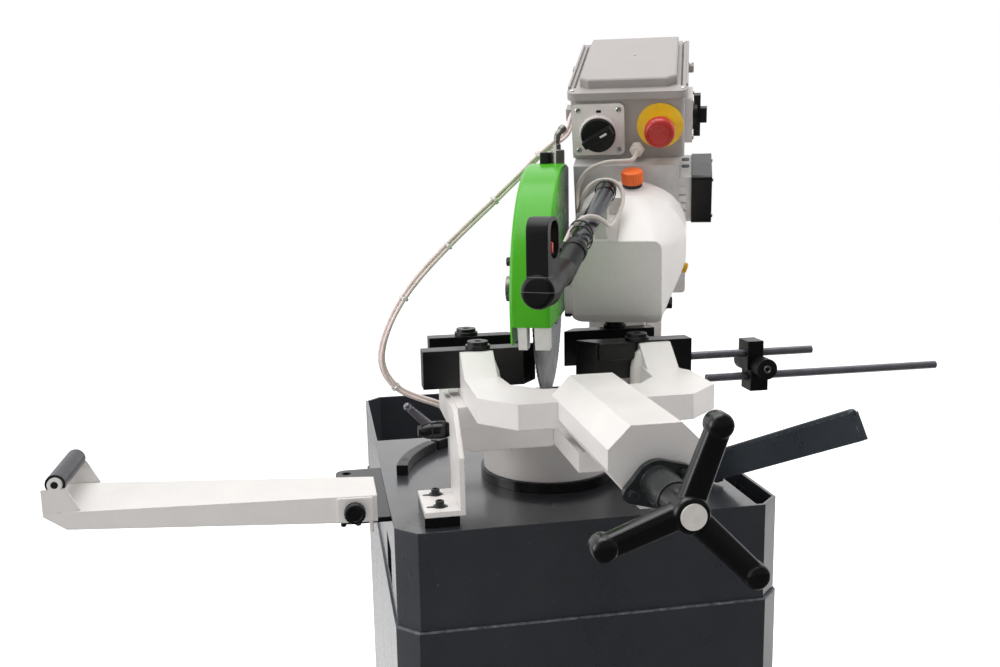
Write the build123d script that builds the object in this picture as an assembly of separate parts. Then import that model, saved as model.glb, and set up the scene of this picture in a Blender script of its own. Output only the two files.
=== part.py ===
from build123d import *
import math
import os

# Circular cold saw for metal on a sheet-metal stand, in millimetres.
# Frame: origin on the floor under the middle of the stand, +X to the operator's right,
# +Y away from the operator, +Z up.  Rest pose: head swivelled and lowered.

# Stand
TABLE_HEIGHT = 800.0
STAND_WIDTH = 460.0
STAND_DEPTH = 660.0
STAND_CORNER = 24.5
CABINET_LEDGE = 2.0
CABINET_SHEET = 2.5
FLOOR_PLATE = 5.0
FLOOR_BOLT_X = 380.0
FLOOR_BOLT_Y = 580.0
FLOOR_BOLT_R = 6.5
PAN_HEIGHT = 119.0
PAN_SHEET = 4.0
TABLE_RIGHT_GAP = 34.0
TABLE_DEPTH = 383.0
SIDE_OPENING_Y = (-235.0, -165.0)
SIDE_OPENING_DROP = (55.0, 105.0)

# Turret and mitre swivel
TURRET_X = -15.0
TURRET_Y = -149.0
SWIVEL = 21.0
RING_R = 88.0
RING_H = 13.0
BARREL_R = 84.0
BARREL_TOP = 72.5
POST_R = 45.0
RUNNING_GAP = 0.05
FACE_GAP = 0.3
ARM_U = (38.0, 140.0)
ARM_BACK = 223.0
ARM_BOTTOM = 20.0
LUG_W = 20.0
LUG_R = 26.0
HINGE_BACK = 195.0
HINGE_Z = 165.0
HINGE_R = 12.0
HINGE_EYE_R = 24.0
ARM_SIDE_GAP = 1.0
GLAND_ANGLE = 150.0
GLAND_R = 9.0
GLAND_REACH = 106.0
GLAND_Z = 45.0

# Vice
BASE_HALF = 135.0
BASE_BOTTOM = 73.0
BED_Z = 126.7
JAW_SEAT_Z = 137.0
JAW_TOP_Z = 183.0
BASE_FRONT = -126.0
BASE_BACK = 54.0
BASE_BEVEL = (14.0, 9.0)
SEAT_MARGIN = 4.0
SLOT_HALF = 60.0
SLOT_Z = 98.0
FIXED_JAW_Y = 17.0
FIXED_JAW_T = 22.0
FIXED_JAW_REACH = 150.0
FIXED_JAW_GAP = (27.0, 45.0)
JAW_OPENING = 64.0
MOVING_JAW_T = 25.0
MOVING_JAW_REACH = 168.0
MOVING_JAW_GAP = (46.0, 26.0)
JAW_BOLT_X = 100.0
JAW_BOLT_R = 6.0
JAW_WASHER_R = 15.0
JAW_WASHER_T = 4.0
JAW_BOLT_HEAD_R = 12.5
JAW_BOLT_HEAD_T = 4.5
JAW_BOLT_SOCKET_R = 5.0
FIXED_BOLT_DEPTH = 20.0
MOVING_BOLT_DEPTH = 9.0
BOLT_ROOM = 2.0
FORK_TOP = 155.0
FORK_T = 28.0
FORK_FRONT = -241.0
FORK_FRONT_X = (-87.0, 105.0)
FORK_SHOULDER_Y = -202.0
FORK_POCKET = -177.0
POCKET_X = (-45.0, 67.0)
POCKET_SIDE = (7.0, -147.0)
LEFT_ARM_X = (-124.0, -84.0)
RIGHT_ARM_X = (98.0, 138.0)
RIGHT_STEP = (7.0, -126.0, -112.0)
HUMP_TOP = 181.0
HUMP_CREST = 6.0
HUMP_SLOPE = 30.0
LEDGE_SETBACK = 2.0
BARREL_FRONT = -423.0
BARREL_BACK = -211.0
BARREL_HALF = 44.5
BARREL_TOP_HALF = 23.5
BARREL_CROWN = 177.0
BARREL_FOOT_HALF = 15.0
BARREL_FOOT = 100.0
BARREL_WAIST = 137.0
SCREW_Z = 124.0
SCREW_R = 8.0
SCREW_BACK = -146.0
SCREW_ROOM = 1.0
SCREW_SEAT = 8.0
NUT_Y = (-236.0, -211.0)
NUT_HALF = 13.0
NUT_TOP = 138.0
CAVITY_SIDE = 3.0
CAVITY_FRONT = -305.0
BOSS_HALF = 22.0
BOSS_BOTTOM = 76.0
FLANGE_T = 7.0
FLANGE_R = 22.0
FLANGE_EAR_R = 8.5
FLANGE_BOLT_HEAD = (4.5, 5.0)
SPINDLE_HOUSING_R = 17.0
SPINDLE_HOUSING_L = 44.0
FLANGE_BOLT_R = 25.0
FLANGE_BOLT_TURN = 18.0
HUB_R = 16.0
HUB_L = 38.0
SPOKE_TURN = 74.8
SPOKE_REACH = 80.0
SPOKE_DISH = 14.0
SPOKE_R = (10.0, 7.0)
KNOB_END_R = 10.5
CAP_R = 11.0
CAP_T = 2.0

# Vice bracket, stop arc and lock levers
BRACKET_T = 6.0
BRACKET_FOOT_Z = 14.0
BRACKET_Y = (-173.0, -93.0)
BRACKET_FOOT_W = 46.0
BRACKET_SHOULDER_Z = (80.0, 100.0)
BRACKET_ARM_Y = -22.0
BRACKET_ARM_Z = (112.0, 125.0)
BRACKET_SLOT = (18.0, 36.0)
BRACKET_SLOT_R = 3.5
BRACKET_SLOT_Y = 21.0
SPACER_INSET = (6.0, 2.0)
LOCK_Y = -76.0
LOCK_Z = 88.0
LOCK_HUB_R = 9.0
LOCK_HUB_L = 39.0
LOCK_STUD_L = 24.0
LOCK_ARM_INSET = 9.0
LOCK_ARM_END = (14.0, 36.0)
LOCK_ARM_R = (6.5, 4.5)
LOCK_BALL_R = 5.5
ARC_R = (184.0, 199.0)
ARC_Z = (9.0, 25.0)
ARC_ANGLES = (146.0, 182.0)
ARC_HOLE_R = 4.5
ARC_HOLE_INSET = 8.0
ARC_FOOT = 5.0
CLAMP_X = 180.0
CLAMP_Y = -69.0
CLAMP_HUB_R = 15.0
CLAMP_HUB_H = 24.0
CLAMP_BAR = (32.0, 12.0, 224.0)
CLAMP_BAR_START = (25.0, 19.0)
CLAMP_NECK_L = 37.0
CLAMP_NECK_Z = (4.0, 22.0)
CLAMP_HEADING = -62.8
CLAMP_RISE = 25.5

# Length stop
STOP_ROD_R = 5.0
STOP_ROD_Y = -60.0
STOP_UPPER_Z = 158.0
STOP_LOWER_Z = 128.0
STOP_UPPER_END = 335.0
STOP_LOWER_X = (193.0, 513.0)
STOP_BLOCK_TOP = (242.0, 263.0, 138.0, 175.0)
STOP_BLOCK_FOOT = (247.0, 270.0, 111.0, 148.0)
STOP_BLOCK_T = 28.0
STOP_KNOB_R = 13.0
STOP_KNOB_L = 22.0
STOP_KNOB_X = 258.5
STOP_KNOB_Z = 143.0
STUD_R = 4.0
STOP_STUD_L = 6.5

# Work support: places along X count from the stand's left side
SUPPORT_PLATE_X = (-60.0, 0.0)
SUPPORT_PLATE_Y = (-265.0, -75.0)
SUPPORT_PLATE_T = 6.0
SUPPORT_PLATE_DROP = 1.0
SUPPORT_PLATE_ROUND = 14.0
SUPPORT_PLATE_HOLE_R = 6.0
SUPPORT_PLATE_HOLE = (14.0, 16.0)
SUPPORT_BAR_Y = 22.0
SUPPORT_BAR_T = 16.0
SUPPORT_BAR_H = 22.0
SUPPORT_BAR_X = (-105.0, -20.0)
SUPPORT_ARM_H = 31.0
SUPPORT_TIP_H = 20.0
SUPPORT_TIP_BEVEL = (24.0, 16.0)
SUPPORT_LEVEL_L = 40.0
CHEEK_TOP = 57.0
CHEEK_L = (26.0, 40.0)
AXLE_EAR_R = 8.0
SUPPORT_SHEET = 3.0
SUPPORT_ROOT_X = -16.0
SUPPORT_TIP_X = -382.0
SUPPORT_ROOT_Y = (-278.0, -208.0)
SUPPORT_TIP_Y = (-254.0, -146.0)
ROLLER_R = 11.0
ROLLER_X = -367.0
ROLLER_Z = 62.0
ROLLER_AXLE_R = 4.0
SUPPORT_KNOB_X = -42.0
SUPPORT_KNOB_R = 12.5
SUPPORT_KNOB_Z = 13.0
SUPPORT_KNOB_L = 12.0
SUPPORT_KNOB_GAP = 1.5

# Head: u to the right of the blade, v to the back, w up, from the blade's centre
TILT = 20.0
BLADE_BACK = 19.0
BLADE_Z = 240.0
BLADE_R = 137.5
BLADE_T = 2.5
BLADE_BORE = 16.0
TOOTH_COUNT = 108
TOOTH_DEPTH = 3.2
TOOTH_GULLET = 0.3
CLAMP_DISC_R = 45.0
CLAMP_DISC_T = 11.0
SPINDLE_R = 20.0
SPINDLE_END = 78.0
COVER_R = 16.5
COVER_END = -54.0
GUARD_R = 160.0
GUARD_W = 48.0
GUARD_WALL = 3.0
GUARD_ROUND = 5.0
GUARD_MOUTH = -24.0
GUARD_SKIRT = -46.0
GUARD_REAR_U = 8.0
GUARD_REAR_S = 26.0
SPINDLE_ROOM = 4.0
COVER_ROOM = 3.0
FORK_GUIDE_S = (-155.0, -130.0)
FORK_GUIDE_LOW = -52.0
FORK_GUIDE_TOP = -10.0
FORK_GUIDE_BRIDGE = 10.0
FORK_GUIDE_INSET = 6.0
FORK_GUIDE_SLOT = 4.5
BLADE_ROOM = 3.0
GEAR_U = (33.0, 145.0)
GEAR_FRONT = -28.0
GEAR_LOW = -35.0
GEAR_TOP = 80.0
GEAR_FRONT_ROUND = 10.0
GEAR_BEVEL = (12.0, 15.0)
GEAR_SHELF_U = 92.0
GEAR_SHELF_WALL = 4.0
HINGE_WEB_V = (14.0, 90.0)
HINGE_WEB_INSET = 8.0
HINGE_WEB_BACK = (20.0, 12.0)
HINGE_WEB_FRONT = (15.0, 18.0)
SPINDLE_BOSS_R = 33.0
GEAR_REAR_V = (58.0, 100.0)
GEAR_REAR_U = (26.0, 174.0)
GEAR_REAR_W = (-40.0, 104.0)
GEAR_REAR_ROUND = 62.0
MOTOR_FLANGE_R = 72.0
MOTOR_FLANGE_T = 12.0
MOTOR_CORE_R = 62.0
MOTOR_FIN_R = 71.0
MOTOR_FINS = 30
MOTOR_FIN_ROOT = 0.26
MOTOR_FIN_TIP = 0.16
MOTOR_BODY_L = 178.0
FAN_COVER_R = 70.0
FAN_COVER_L = 52.0
BOX_U = (22.0, 170.0)
BOX_V = (141.0, 385.0)
BOX_W = (124.0, 204.0)
BOX_WALL = 4.0
BOX_ROUND = 8.0
LID_RIM = 4.0
LID_RIM_H = 10.0
LID_PANEL_INSET = (11.0, 17.0)
LID_PANEL_H = 12.0
LID_PANEL_CORNER = 12.0
LID_PANEL_BEVEL = 2.0
BRACKET_PLATE = 5.0
BOX_BRACKET_U = (26.0, 164.0)
BOX_BRACKET_BACK = 330.0
BOX_BRACKET_LOW = 34.0
SWITCH_U = 58.5
SWITCH_W = 165.0
SWITCH_SIZE = (68.0, 69.0)
SWITCH_T = 5.0
SWITCH_ROUND = 7.0
SELECTOR_W = 160.0
SELECTOR_SHAFT = (4.0, 3.0)
SELECTOR_BASE_T = 10.0
SELECTOR_BAR_HALF = 5.0
SELECTOR_TURN = -30.0
SELECTOR_R = 22.0
SELECTOR_L = 21.0
ESTOP_U = 138.5
ESTOP_W = 168.0
ESTOP_DISC_R = 30.0
ESTOP_DISC_T = 2.0
ESTOP_COLLAR_R = 14.0
ESTOP_COLLAR_L = 15.0
ESTOP_STEM_R = 10.0
ESTOP_HEAD_R = 19.5
ESTOP_HEAD_T = 16.0
ESTOP_HEAD_ROUND = 6.0
ESTOP_TRAVEL = 6.0
CABLE_GLAND_U = 108.6
CABLE_GLAND_W = 139.0
CABLE_GLAND_L = 19.0
CABLE_GLAND_R = 7.0
CABLE_NUT = (9.5, 6.0, 9.0)
ISOLATOR_V = 200.0
ISOLATOR_W = 162.0
ISOLATOR_SIZE = (56.0, 62.0)
ISOLATOR_T = 10.0
ISOLATOR_ROUND = 6.0
ISOLATOR_SHAFT = (4.0, 3.0)
ISOLATOR_HUB = (18.0, 6.0)
ISOLATOR_BAR = (6.0, 28.0, 10.0)
ISOLATOR_GRIP = (5.0, 10.0, 18.5)
TERMINAL_V = (150.0, 235.0)
TERMINAL_W = (28.0, 92.0)
TERMINAL_BASE_U = 180.0
TERMINAL_END_U = 207.0
TERMINAL_LIP = (4.0, 2.0)
TERMINAL_ROUND = 5.0
TERMINAL_NECK = 40.0
TERMINAL_ROOM = 6.0
OIL_U = 104.6
OIL_V = 86.0
OIL_NECK_R = 11.0
OIL_NECK_W = 106.0
OIL_NECK_LIP = 2.0
OIL_PLUG_R = 8.0
OIL_PLUG_L = 9.0
OIL_CAP_R = 14.0
OIL_CAP_H = 16.5
OIL_CAP_FOOT = 4.5
OIL_CAP_FLUTES = 12
OIL_CAP_FLUTE_R = 1.6
OIL_CAP_FLUTE_OUT = 0.6
OIL_CAP_RIM = 3.0
TAP_U = 12.5
TAP_BLOCK = (19.0, 24.0, 17.0)
TAP_CLIP = (11.0, 9.0, 3.0)
TAP_NECK_H = 9.0
TAP_STEM_R = 3.5
TAP_STEM_L = 13.0
TAP_KNOB_R = 5.5
TAP_KNOB_H = 9.0
TAP_WING = (2.5, 13.0, 5.0)
TUBE_R = 11.0
TUBE_TOP = (77.5, -12.0, 128.2)
TUBE_END = (43.0, -207.0, 43.0)
HANDLE_SADDLE_U = (64.0, 79.0)
HANDLE_SADDLE_L = 34.0
HANDLE_SADDLE_LOW = 56.0
HANDLE_SADDLE_DROP = 2.0
GRIP_T = 23.0
GRIP_ROUND = 15.0
GRIP_HOLE_ROUND = 11.0
GRIP_A = (44.0, 83.0)
GRIP_Z = (-22.0, 66.5)
GRIP_HOLE_A = (47.5, 74.0)
GRIP_HOLE_Z = (24.0, 62.5)
GRIP_BULB_R = 18.0
GRIP_BULB_L = 33.0
GRIP_BULB_OUT = 3.0
GRIP_BULB_RISE = 14.0
GRIP_BULB_ROUND = 5.0
GRIP_ELBOW = (16.0, 2.0)
GRIP_ELBOW_END = (-14.0, 0.0, 5.0)
SLEEVE_R = 13.2
SLEEVE_L = 58.0
SLEEVE_END = 4.0
COLLAR_R = 14.2
COLLAR_L = 9.0
CABLE_BOSS_R = 4.8
CABLE_BOSS_L = 16.0
TRIGGER_Z = (25.5, 39.0)
TRIGGER_T = 10.0
TRIGGER_ROUND = 4.0
TRIGGER_OUT = 11.0
TRIGGER_IN = 2.0
TRIGGER_TRAVEL = 4.0
FIT = 0.3

# Cables: the handle's route is in the level head frame, the bundle's in the part's frame
HANDLE_CABLE_R = 2.8
HANDLE_CABLE_SEAT = 14.2
HANDLE_CABLE_SIDE = (-0.95, 0.0, 0.32)
HANDLE_CABLE_ENDS = (16.0, 14.0)
HANDLE_ROUTE = [
    (103, 38, 161),
    (88, 31, 161),
    (69, 31, 160),
    (50, 32, 152),
    (38, 32, 138),
    (34, 31, 121),
    (36, 24, 105),
    (39, 9, 98),
    (42, -6, 104),
    (46, -12, 119),
    (54, -7, 132),
    (67, -3, 139),
    (83, -3, 138),
    (95, -7, 128),
    (97, -18, 112),
    (93, -35, 98),
    (88, -54, 89),
    (84, -74, 86),
    (83, -88, 88),
    (80, -101, 93),
    (71, -113, 100),
    (59, -122, 100),
    (47, -131, 91),
]
BUNDLE_R = 5.0
BUNDLE_GLAND_V = (222.0, 246.0)
BUNDLE_GLAND_W = 158.0
BUNDLE_SIDE = 8.0
BUNDLE_END = 22.0
BUNDLE_ROUTE = [
    (42, -41, 1242),
    (30, -61, 1231),
    (18, -70, 1219),
    (4, -71, 1208),
    (-11, -69, 1197),
    (-28, -69, 1185),
    (-48, -71, 1170),
    (-70, -74, 1150),
    (-100, -75, 1124),
    (-133, -73, 1093),
    (-168, -70, 1057),
    (-195, -66, 1021),
    (-213, -62, 985),
    (-222, -58, 954),
    (-221, -55, 932),
    (-211, -50, 911),
    (-195, -46, 895),
    (-172, -43, 884),
    (-146, -39, 874),
    (-122, -32, 860),
]

FRONT = -STAND_DEPTH / 2
SEAM_Z = TABLE_HEIGHT - PAN_HEIGHT
BENCH = Pos(TURRET_X, TURRET_Y, TABLE_HEIGHT)
LEFT_SIDE = Pos(-STAND_WIDTH / 2, 0, 0)
TURRET = BENCH * Rot(0, 0, -SWIVEL)
LEVEL = TURRET * Pos(0, BLADE_BACK, BLADE_Z)
HEAD = LEVEL * Rot(TILT, 0, 0)
MOVING_JAW_Y = FIXED_JAW_Y - JAW_OPENING - MOVING_JAW_T
AXIS_U = sum(GEAR_REAR_U) / 2
AXIS_W = sum(GEAR_REAR_W) / 2
ON_BASE = (Align.CENTER, Align.CENTER, Align.MIN)


def block(x0, x1, y0, y1, z0, z1):
    """Box between two corners."""
    return Pos((x0 + x1) / 2, (y0 + y1) / 2, (z0 + z1) / 2) * Box(x1 - x0, y1 - y0, z1 - z0)


def rod_x(radius, x0, x1, y, z):
    """Cylinder along X."""
    return Pos(x0, y, z) * Rot(0, 90, 0) * Cylinder(radius, x1 - x0, align=ON_BASE)


def rod_y(radius, y0, y1, x, z):
    """Cylinder along Y."""
    return Pos(x, y0, z) * Rot(-90, 0, 0) * Cylinder(radius, y1 - y0, align=ON_BASE)


def rod_z(radius, z0, z1, x, y):
    """Cylinder along Z."""
    return Pos(x, y, z0) * Cylinder(radius, z1 - z0, align=ON_BASE)


def along_x(points, x0, x1):
    """Outline of (y, z) points, extruded from x0 to x1."""
    return extrude(Plane.YZ.offset(x0) * Polygon(*points, align=None), amount=x1 - x0, dir=(1, 0, 0))


def along_y(points, y0, y1):
    """Outline of (x, z) points, extruded from y0 to y1."""
    return extrude(Plane.XZ.offset(-y0) * Polygon(*points, align=None), amount=y1 - y0, dir=(0, 1, 0))


def along_z(points, z0, z1):
    """Outline of (x, y) points, extruded from z0 to z1."""
    return extrude(Plane.XY.offset(z0) * Polygon(*points, align=None), amount=z1 - z0, dir=(0, 0, 1))


def cornered(width, depth, corner, z0, z1):
    """Upright prism with cut corners."""
    w = width / 2
    d = depth / 2
    points = [(corner - w, -d), (w - corner, -d), (w, corner - d), (w, d - corner)]
    points += [(w - corner, d), (corner - w, d), (-w, d - corner), (-w, corner - d)]
    return along_z(points, z0, z1)


def sheet_corner(corner, sheet):
    """Cut corner of the inside of a cornered prism with a constant wall."""
    return corner - sheet * (2 - math.sqrt(2))


def toward(start, end):
    """Location at start with its Z axis along the line to end, and the line's length."""
    line = Vector(*end) - Vector(*start)
    return Plane(origin=start, z_dir=line).location, line.length


def save(name, shape):
    """Writes one node."""
    export_step(shape, f"parts/{name}.step")


# Stand

def stand_cabinet():
    width = STAND_WIDTH + 2 * CABINET_LEDGE
    depth = STAND_DEPTH + 2 * CABINET_LEDGE
    inner = 2 * CABINET_SHEET
    corner = sheet_corner(STAND_CORNER, CABINET_SHEET)
    shell = cornered(width, depth, STAND_CORNER, 0, SEAM_Z)
    shell -= cornered(width - inner, depth - inner, corner, FLOOR_PLATE, SEAM_Z + 1)
    for x in (-FLOOR_BOLT_X / 2, FLOOR_BOLT_X / 2):
        for y in (-FLOOR_BOLT_Y / 2, FLOOR_BOLT_Y / 2):
            shell -= rod_z(FLOOR_BOLT_R, -1, FLOOR_PLATE + 1, x, y)
    return shell


def stand_pan():
    inner = 2 * PAN_SHEET
    corner = sheet_corner(STAND_CORNER, PAN_SHEET)
    outer = cornered(STAND_WIDTH, STAND_DEPTH, STAND_CORNER, SEAM_Z, TABLE_HEIGHT)
    pan = outer - cornered(
        STAND_WIDTH - inner, STAND_DEPTH - inner, corner, SEAM_Z + PAN_SHEET, TABLE_HEIGHT + 1
    )
    right = STAND_WIDTH / 2 - TABLE_RIGHT_GAP
    back = FRONT + TABLE_DEPTH
    table = block(-STAND_WIDTH, right, -STAND_DEPTH, back, TABLE_HEIGHT - PAN_SHEET, TABLE_HEIGHT)
    skirt = block(right - PAN_SHEET, right, -STAND_DEPTH, back, SEAM_Z, TABLE_HEIGHT)
    skirt += block(-STAND_WIDTH, right, back - PAN_SHEET, back, SEAM_Z, TABLE_HEIGHT)
    pan += outer & (table + skirt)
    low = TABLE_HEIGHT - SIDE_OPENING_DROP[1]
    high = TABLE_HEIGHT - SIDE_OPENING_DROP[0]
    side = -STAND_WIDTH / 2
    return pan - block(side - 1, side + PAN_SHEET + 1, *SIDE_OPENING_Y, low, high)


# Turret

def turret_ring():
    return BENCH * (rod_z(RING_R, 0, RING_H, 0, 0) - rod_z(POST_R + RUNNING_GAP, -1, RING_H + 1, 0, 0))


def centre_post():
    return BENCH * rod_z(POST_R, 0, BASE_BOTTOM, 0, 0)


def turret_barrel():
    """Rotating barrel with its back arm, the two hinge lugs and the cable gland."""
    bottom = RING_H + FACE_GAP
    body = rod_z(BARREL_R, bottom, BARREL_TOP, 0, 0)
    body += block(*ARM_U, 0, ARM_BACK, ARM_BOTTOM, BARREL_TOP)
    for u0 in (ARM_U[0], ARM_U[1] - LUG_W):
        body += block(u0, u0 + LUG_W, HINGE_BACK - LUG_R, HINGE_BACK + LUG_R, ARM_BOTTOM, HINGE_Z)
        body += rod_x(LUG_R, u0, u0 + LUG_W, HINGE_BACK, HINGE_Z)
    body -= rod_z(POST_R + RUNNING_GAP, 0, BARREL_TOP + 1, 0, 0)
    body -= rod_x(HINGE_R, ARM_U[0] - 1, ARM_U[1] + 1, HINGE_BACK, HINGE_Z)
    gland = Pos(0, 0, GLAND_Z) * Rot(0, 0, GLAND_ANGLE)
    body += gland * rod_x(GLAND_R, POST_R + 10, GLAND_REACH, 0, 0)
    return TURRET * body


def hinge_pin():
    return TURRET * rod_x(HINGE_R, ARM_U[0], ARM_U[1], HINGE_BACK, HINGE_Z)


# Vice, in the bench frame of the turret's axis on the table

def vice_base():
    base = block(-BASE_HALF, BASE_HALF, BASE_FRONT, BASE_BACK, BASE_BOTTOM, BED_Z)
    for side in (-1, 1):
        inner, outer = sorted((side * SLOT_HALF, side * BASE_HALF))
        base += block(inner, outer, FIXED_JAW_Y - SEAT_MARGIN, BASE_BACK, BED_Z, JAW_SEAT_Z)
        hole_end = JAW_SEAT_Z - FIXED_BOLT_DEPTH - BOLT_ROOM
        base -= rod_z(JAW_BOLT_R, hole_end, JAW_SEAT_Z + 1, side * JAW_BOLT_X, fixed_bolt_y())
    base -= block(-SLOT_HALF, SLOT_HALF, BASE_FRONT - 1, BASE_BACK + 1, SLOT_Z, JAW_SEAT_Z + 1)
    bevel_x, bevel_z = BASE_BEVEL
    bevel = [(-BASE_HALF, BASE_BOTTOM), (bevel_x - BASE_HALF, BASE_BOTTOM)]
    bevel.append((-BASE_HALF, BASE_BOTTOM + bevel_z))
    base -= along_y(bevel, BASE_FRONT - 1, BASE_BACK + 1)
    base -= along_y([(-x, z) for x, z in bevel], BASE_FRONT - 1, BASE_BACK + 1)
    boss_top = BARREL_FOOT - 1
    base += block(-BOSS_HALF, BOSS_HALF, NUT_Y[0] - SEAT_MARGIN, BASE_FRONT + 1, BOSS_BOTTOM, boss_top)
    base += block(-NUT_HALF, NUT_HALF, *NUT_Y, boss_top - 1, NUT_TOP)
    base -= rod_y(SCREW_R + RUNNING_GAP, NUT_Y[0] - 1, NUT_Y[1] + 1, 0, SCREW_Z)
    stud_end = LOCK_STUD_L + BOLT_ROOM - BASE_HALF
    base -= rod_x(STUD_R + RUNNING_GAP, -BASE_HALF - 1, stud_end, LOCK_Y, LOCK_Z)
    return BENCH * base


def fixed_bolt_y():
    """The washer's edge stands over the gripping face, so the bolts clear each other when the vice shuts."""
    return FIXED_JAW_Y + JAW_WASHER_R


def moving_bolt_y():
    return MOVING_JAW_Y + MOVING_JAW_T - JAW_WASHER_R


def jaw(side, y0, thickness, reach, gap, bolt_y):
    """Jaw block whose inner end is bevelled from gap[0] at the front to gap[1] at the back."""
    outline = [(side * gap[0], y0), (side * reach, y0), (side * reach, y0 + thickness)]
    outline.append((side * gap[1], y0 + thickness))
    body = along_z(outline, JAW_SEAT_Z, JAW_TOP_Z)
    return BENCH * (body - rod_z(JAW_BOLT_R, JAW_SEAT_Z - 1, JAW_TOP_Z + 1, side * JAW_BOLT_X, bolt_y))


def jaw_bolt(side, bolt_y, depth):
    """Flanged bolt with its washer, standing on a jaw's top."""
    x = side * JAW_BOLT_X
    top = JAW_TOP_Z + JAW_WASHER_T
    bolt = rod_z(JAW_WASHER_R, JAW_TOP_Z, top, x, bolt_y)
    bolt += rod_z(JAW_BOLT_HEAD_R, top, top + JAW_BOLT_HEAD_T, x, bolt_y)
    bolt += rod_z(JAW_BOLT_R - RUNNING_GAP, JAW_SEAT_Z - depth, JAW_TOP_Z + 1, x, bolt_y)
    socket = extrude(RegularPolygon(radius=JAW_BOLT_SOCKET_R, side_count=6), amount=JAW_BOLT_HEAD_T)
    return BENCH * (bolt - Pos(x, bolt_y, top + 1) * socket)


def vice_slide():
    """Moving half of the vice: fork, octagonal screw barrel, arm humps and jaw ledges."""
    low = FORK_TOP - FORK_T
    jaw_front = MOVING_JAW_Y
    left, left_inner = LEFT_ARM_X
    right_inner, right = RIGHT_ARM_X
    step, step_front, step_back = RIGHT_STEP
    side_x, side_y = POCKET_SIDE
    outline = [(left, jaw_front), (left, FORK_SHOULDER_Y), (FORK_FRONT_X[0], FORK_FRONT)]
    outline += [(FORK_FRONT_X[1], FORK_FRONT), (right + step, FORK_SHOULDER_Y), (right + step, step_front)]
    outline += [(right, step_back), (right, jaw_front), (right_inner, jaw_front)]
    outline += [(right_inner - side_x, side_y), (POCKET_X[1], FORK_POCKET), (POCKET_X[0], FORK_POCKET)]
    outline += [(left_inner + side_x, side_y), (left_inner, jaw_front)]
    slide = along_z(outline, low, FORK_TOP)
    shoulder = BARREL_HALF - BARREL_TOP_HALF
    octagon = [(BARREL_TOP_HALF, BARREL_CROWN), (BARREL_HALF, BARREL_CROWN - shoulder)]
    octagon += [(BARREL_HALF, BARREL_WAIST), (BARREL_FOOT_HALF, BARREL_FOOT)]
    octagon += [(-x, z) for x, z in reversed(octagon)]
    slide += along_y(octagon, BARREL_FRONT, BARREL_BACK)
    crest = jaw_front - HUMP_CREST
    hump = [(crest - HUMP_SLOPE, low), (crest - HUMP_SLOPE, FORK_TOP), (crest, HUMP_TOP)]
    hump += [(jaw_front, HUMP_TOP), (jaw_front, low)]
    ledge_back = jaw_front + MOVING_JAW_T - LEDGE_SETBACK
    for x0, x1 in (LEFT_ARM_X, RIGHT_ARM_X):
        slide += along_x(hump, x0, x1)
        slide += block(x0, x1, jaw_front - 1, ledge_back, low, JAW_SEAT_Z)
    for side in (-1, 1):
        slide -= rod_z(JAW_BOLT_R, low - 1, JAW_SEAT_Z + 1, side * JAW_BOLT_X, moving_bolt_y())
    half = NUT_HALF + CAVITY_SIDE
    slide -= block(-half, half, CAVITY_FRONT, FORK_POCKET + 2, BARREL_FOOT - 1, NUT_TOP + CAVITY_SIDE)
    slide -= rod_y(SCREW_R + SCREW_ROOM, BARREL_FRONT - 1, CAVITY_FRONT + 1, 0, SCREW_Z)
    return BENCH * slide


def flange_side():
    """Outline between the tangent points of the flange's round and of one ear."""
    lean = math.acos((FLANGE_R - FLANGE_EAR_R) / FLANGE_BOLT_R)
    x, z = math.cos(lean), math.sin(lean)
    near = [(FLANGE_R * x, -FLANGE_R * z), (FLANGE_R * x, FLANGE_R * z)]
    far_x = FLANGE_BOLT_R + FLANGE_EAR_R * x
    return near + [(far_x, FLANGE_EAR_R * z), (far_x, -FLANGE_EAR_R * z)]


def spindle_flange():
    """Two-bolt flange with the round housing that carries the screw."""
    back = BARREL_FRONT
    front = back - FLANGE_T
    head_r, head_h = FLANGE_BOLT_HEAD
    plate = rod_y(FLANGE_R, front, back, 0, SCREW_Z)
    for turn in (FLANGE_BOLT_TURN, FLANGE_BOLT_TURN + 180):
        x = FLANGE_BOLT_R * math.cos(math.radians(turn))
        z = SCREW_Z + FLANGE_BOLT_R * math.sin(math.radians(turn))
        plate += rod_y(FLANGE_EAR_R, front, back, x, z)
        plate += Pos(0, 0, SCREW_Z) * Rot(0, -turn, 0) * along_y(flange_side(), front, back)
        plate += rod_y(head_r, front - head_h, front, x, z)
    plate += rod_y(SPINDLE_HOUSING_R, front - SPINDLE_HOUSING_L, front, 0, SCREW_Z)
    bore = rod_y(SCREW_R + RUNNING_GAP, front - SPINDLE_HOUSING_L - 1, back + 1, 0, SCREW_Z)
    return BENCH * (plate - bore)


def hub_span():
    """Front and back of the handwheel's hub."""
    back = BARREL_FRONT - FLANGE_T - SPINDLE_HOUSING_L - FACE_GAP
    return back - HUB_L, back


def handwheel():
    front, back = hub_span()
    hub = rod_y(HUB_R, front, back, 0, SCREW_Z)
    for spoke in range(3):
        place = Pos(0, front, SCREW_Z) * Rot(0, -(SPOKE_TURN + 120 * spoke), 0)
        line, length = toward((0, SPOKE_DISH, 0), (SPOKE_REACH, 0, 0))
        hub += place * line * Cone(*SPOKE_R, length, align=ON_BASE)
        hub += place * Pos(SPOKE_REACH, 0, 0) * Sphere(KNOB_END_R)
    hub &= rod_y(SPOKE_REACH + KNOB_END_R + 1, front - KNOB_END_R - 1, back, 0, SCREW_Z)
    hub -= rod_y(SCREW_R, front + SCREW_SEAT, back + 1, 0, SCREW_Z)
    return BENCH * hub


def handwheel_cap():
    front, _ = hub_span()
    return BENCH * rod_y(CAP_R, front - CAP_T, front, 0, SCREW_Z)


def vice_screw():
    front, _ = hub_span()
    return BENCH * rod_y(SCREW_R, front + SCREW_SEAT, SCREW_BACK, 0, SCREW_Z)


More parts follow.
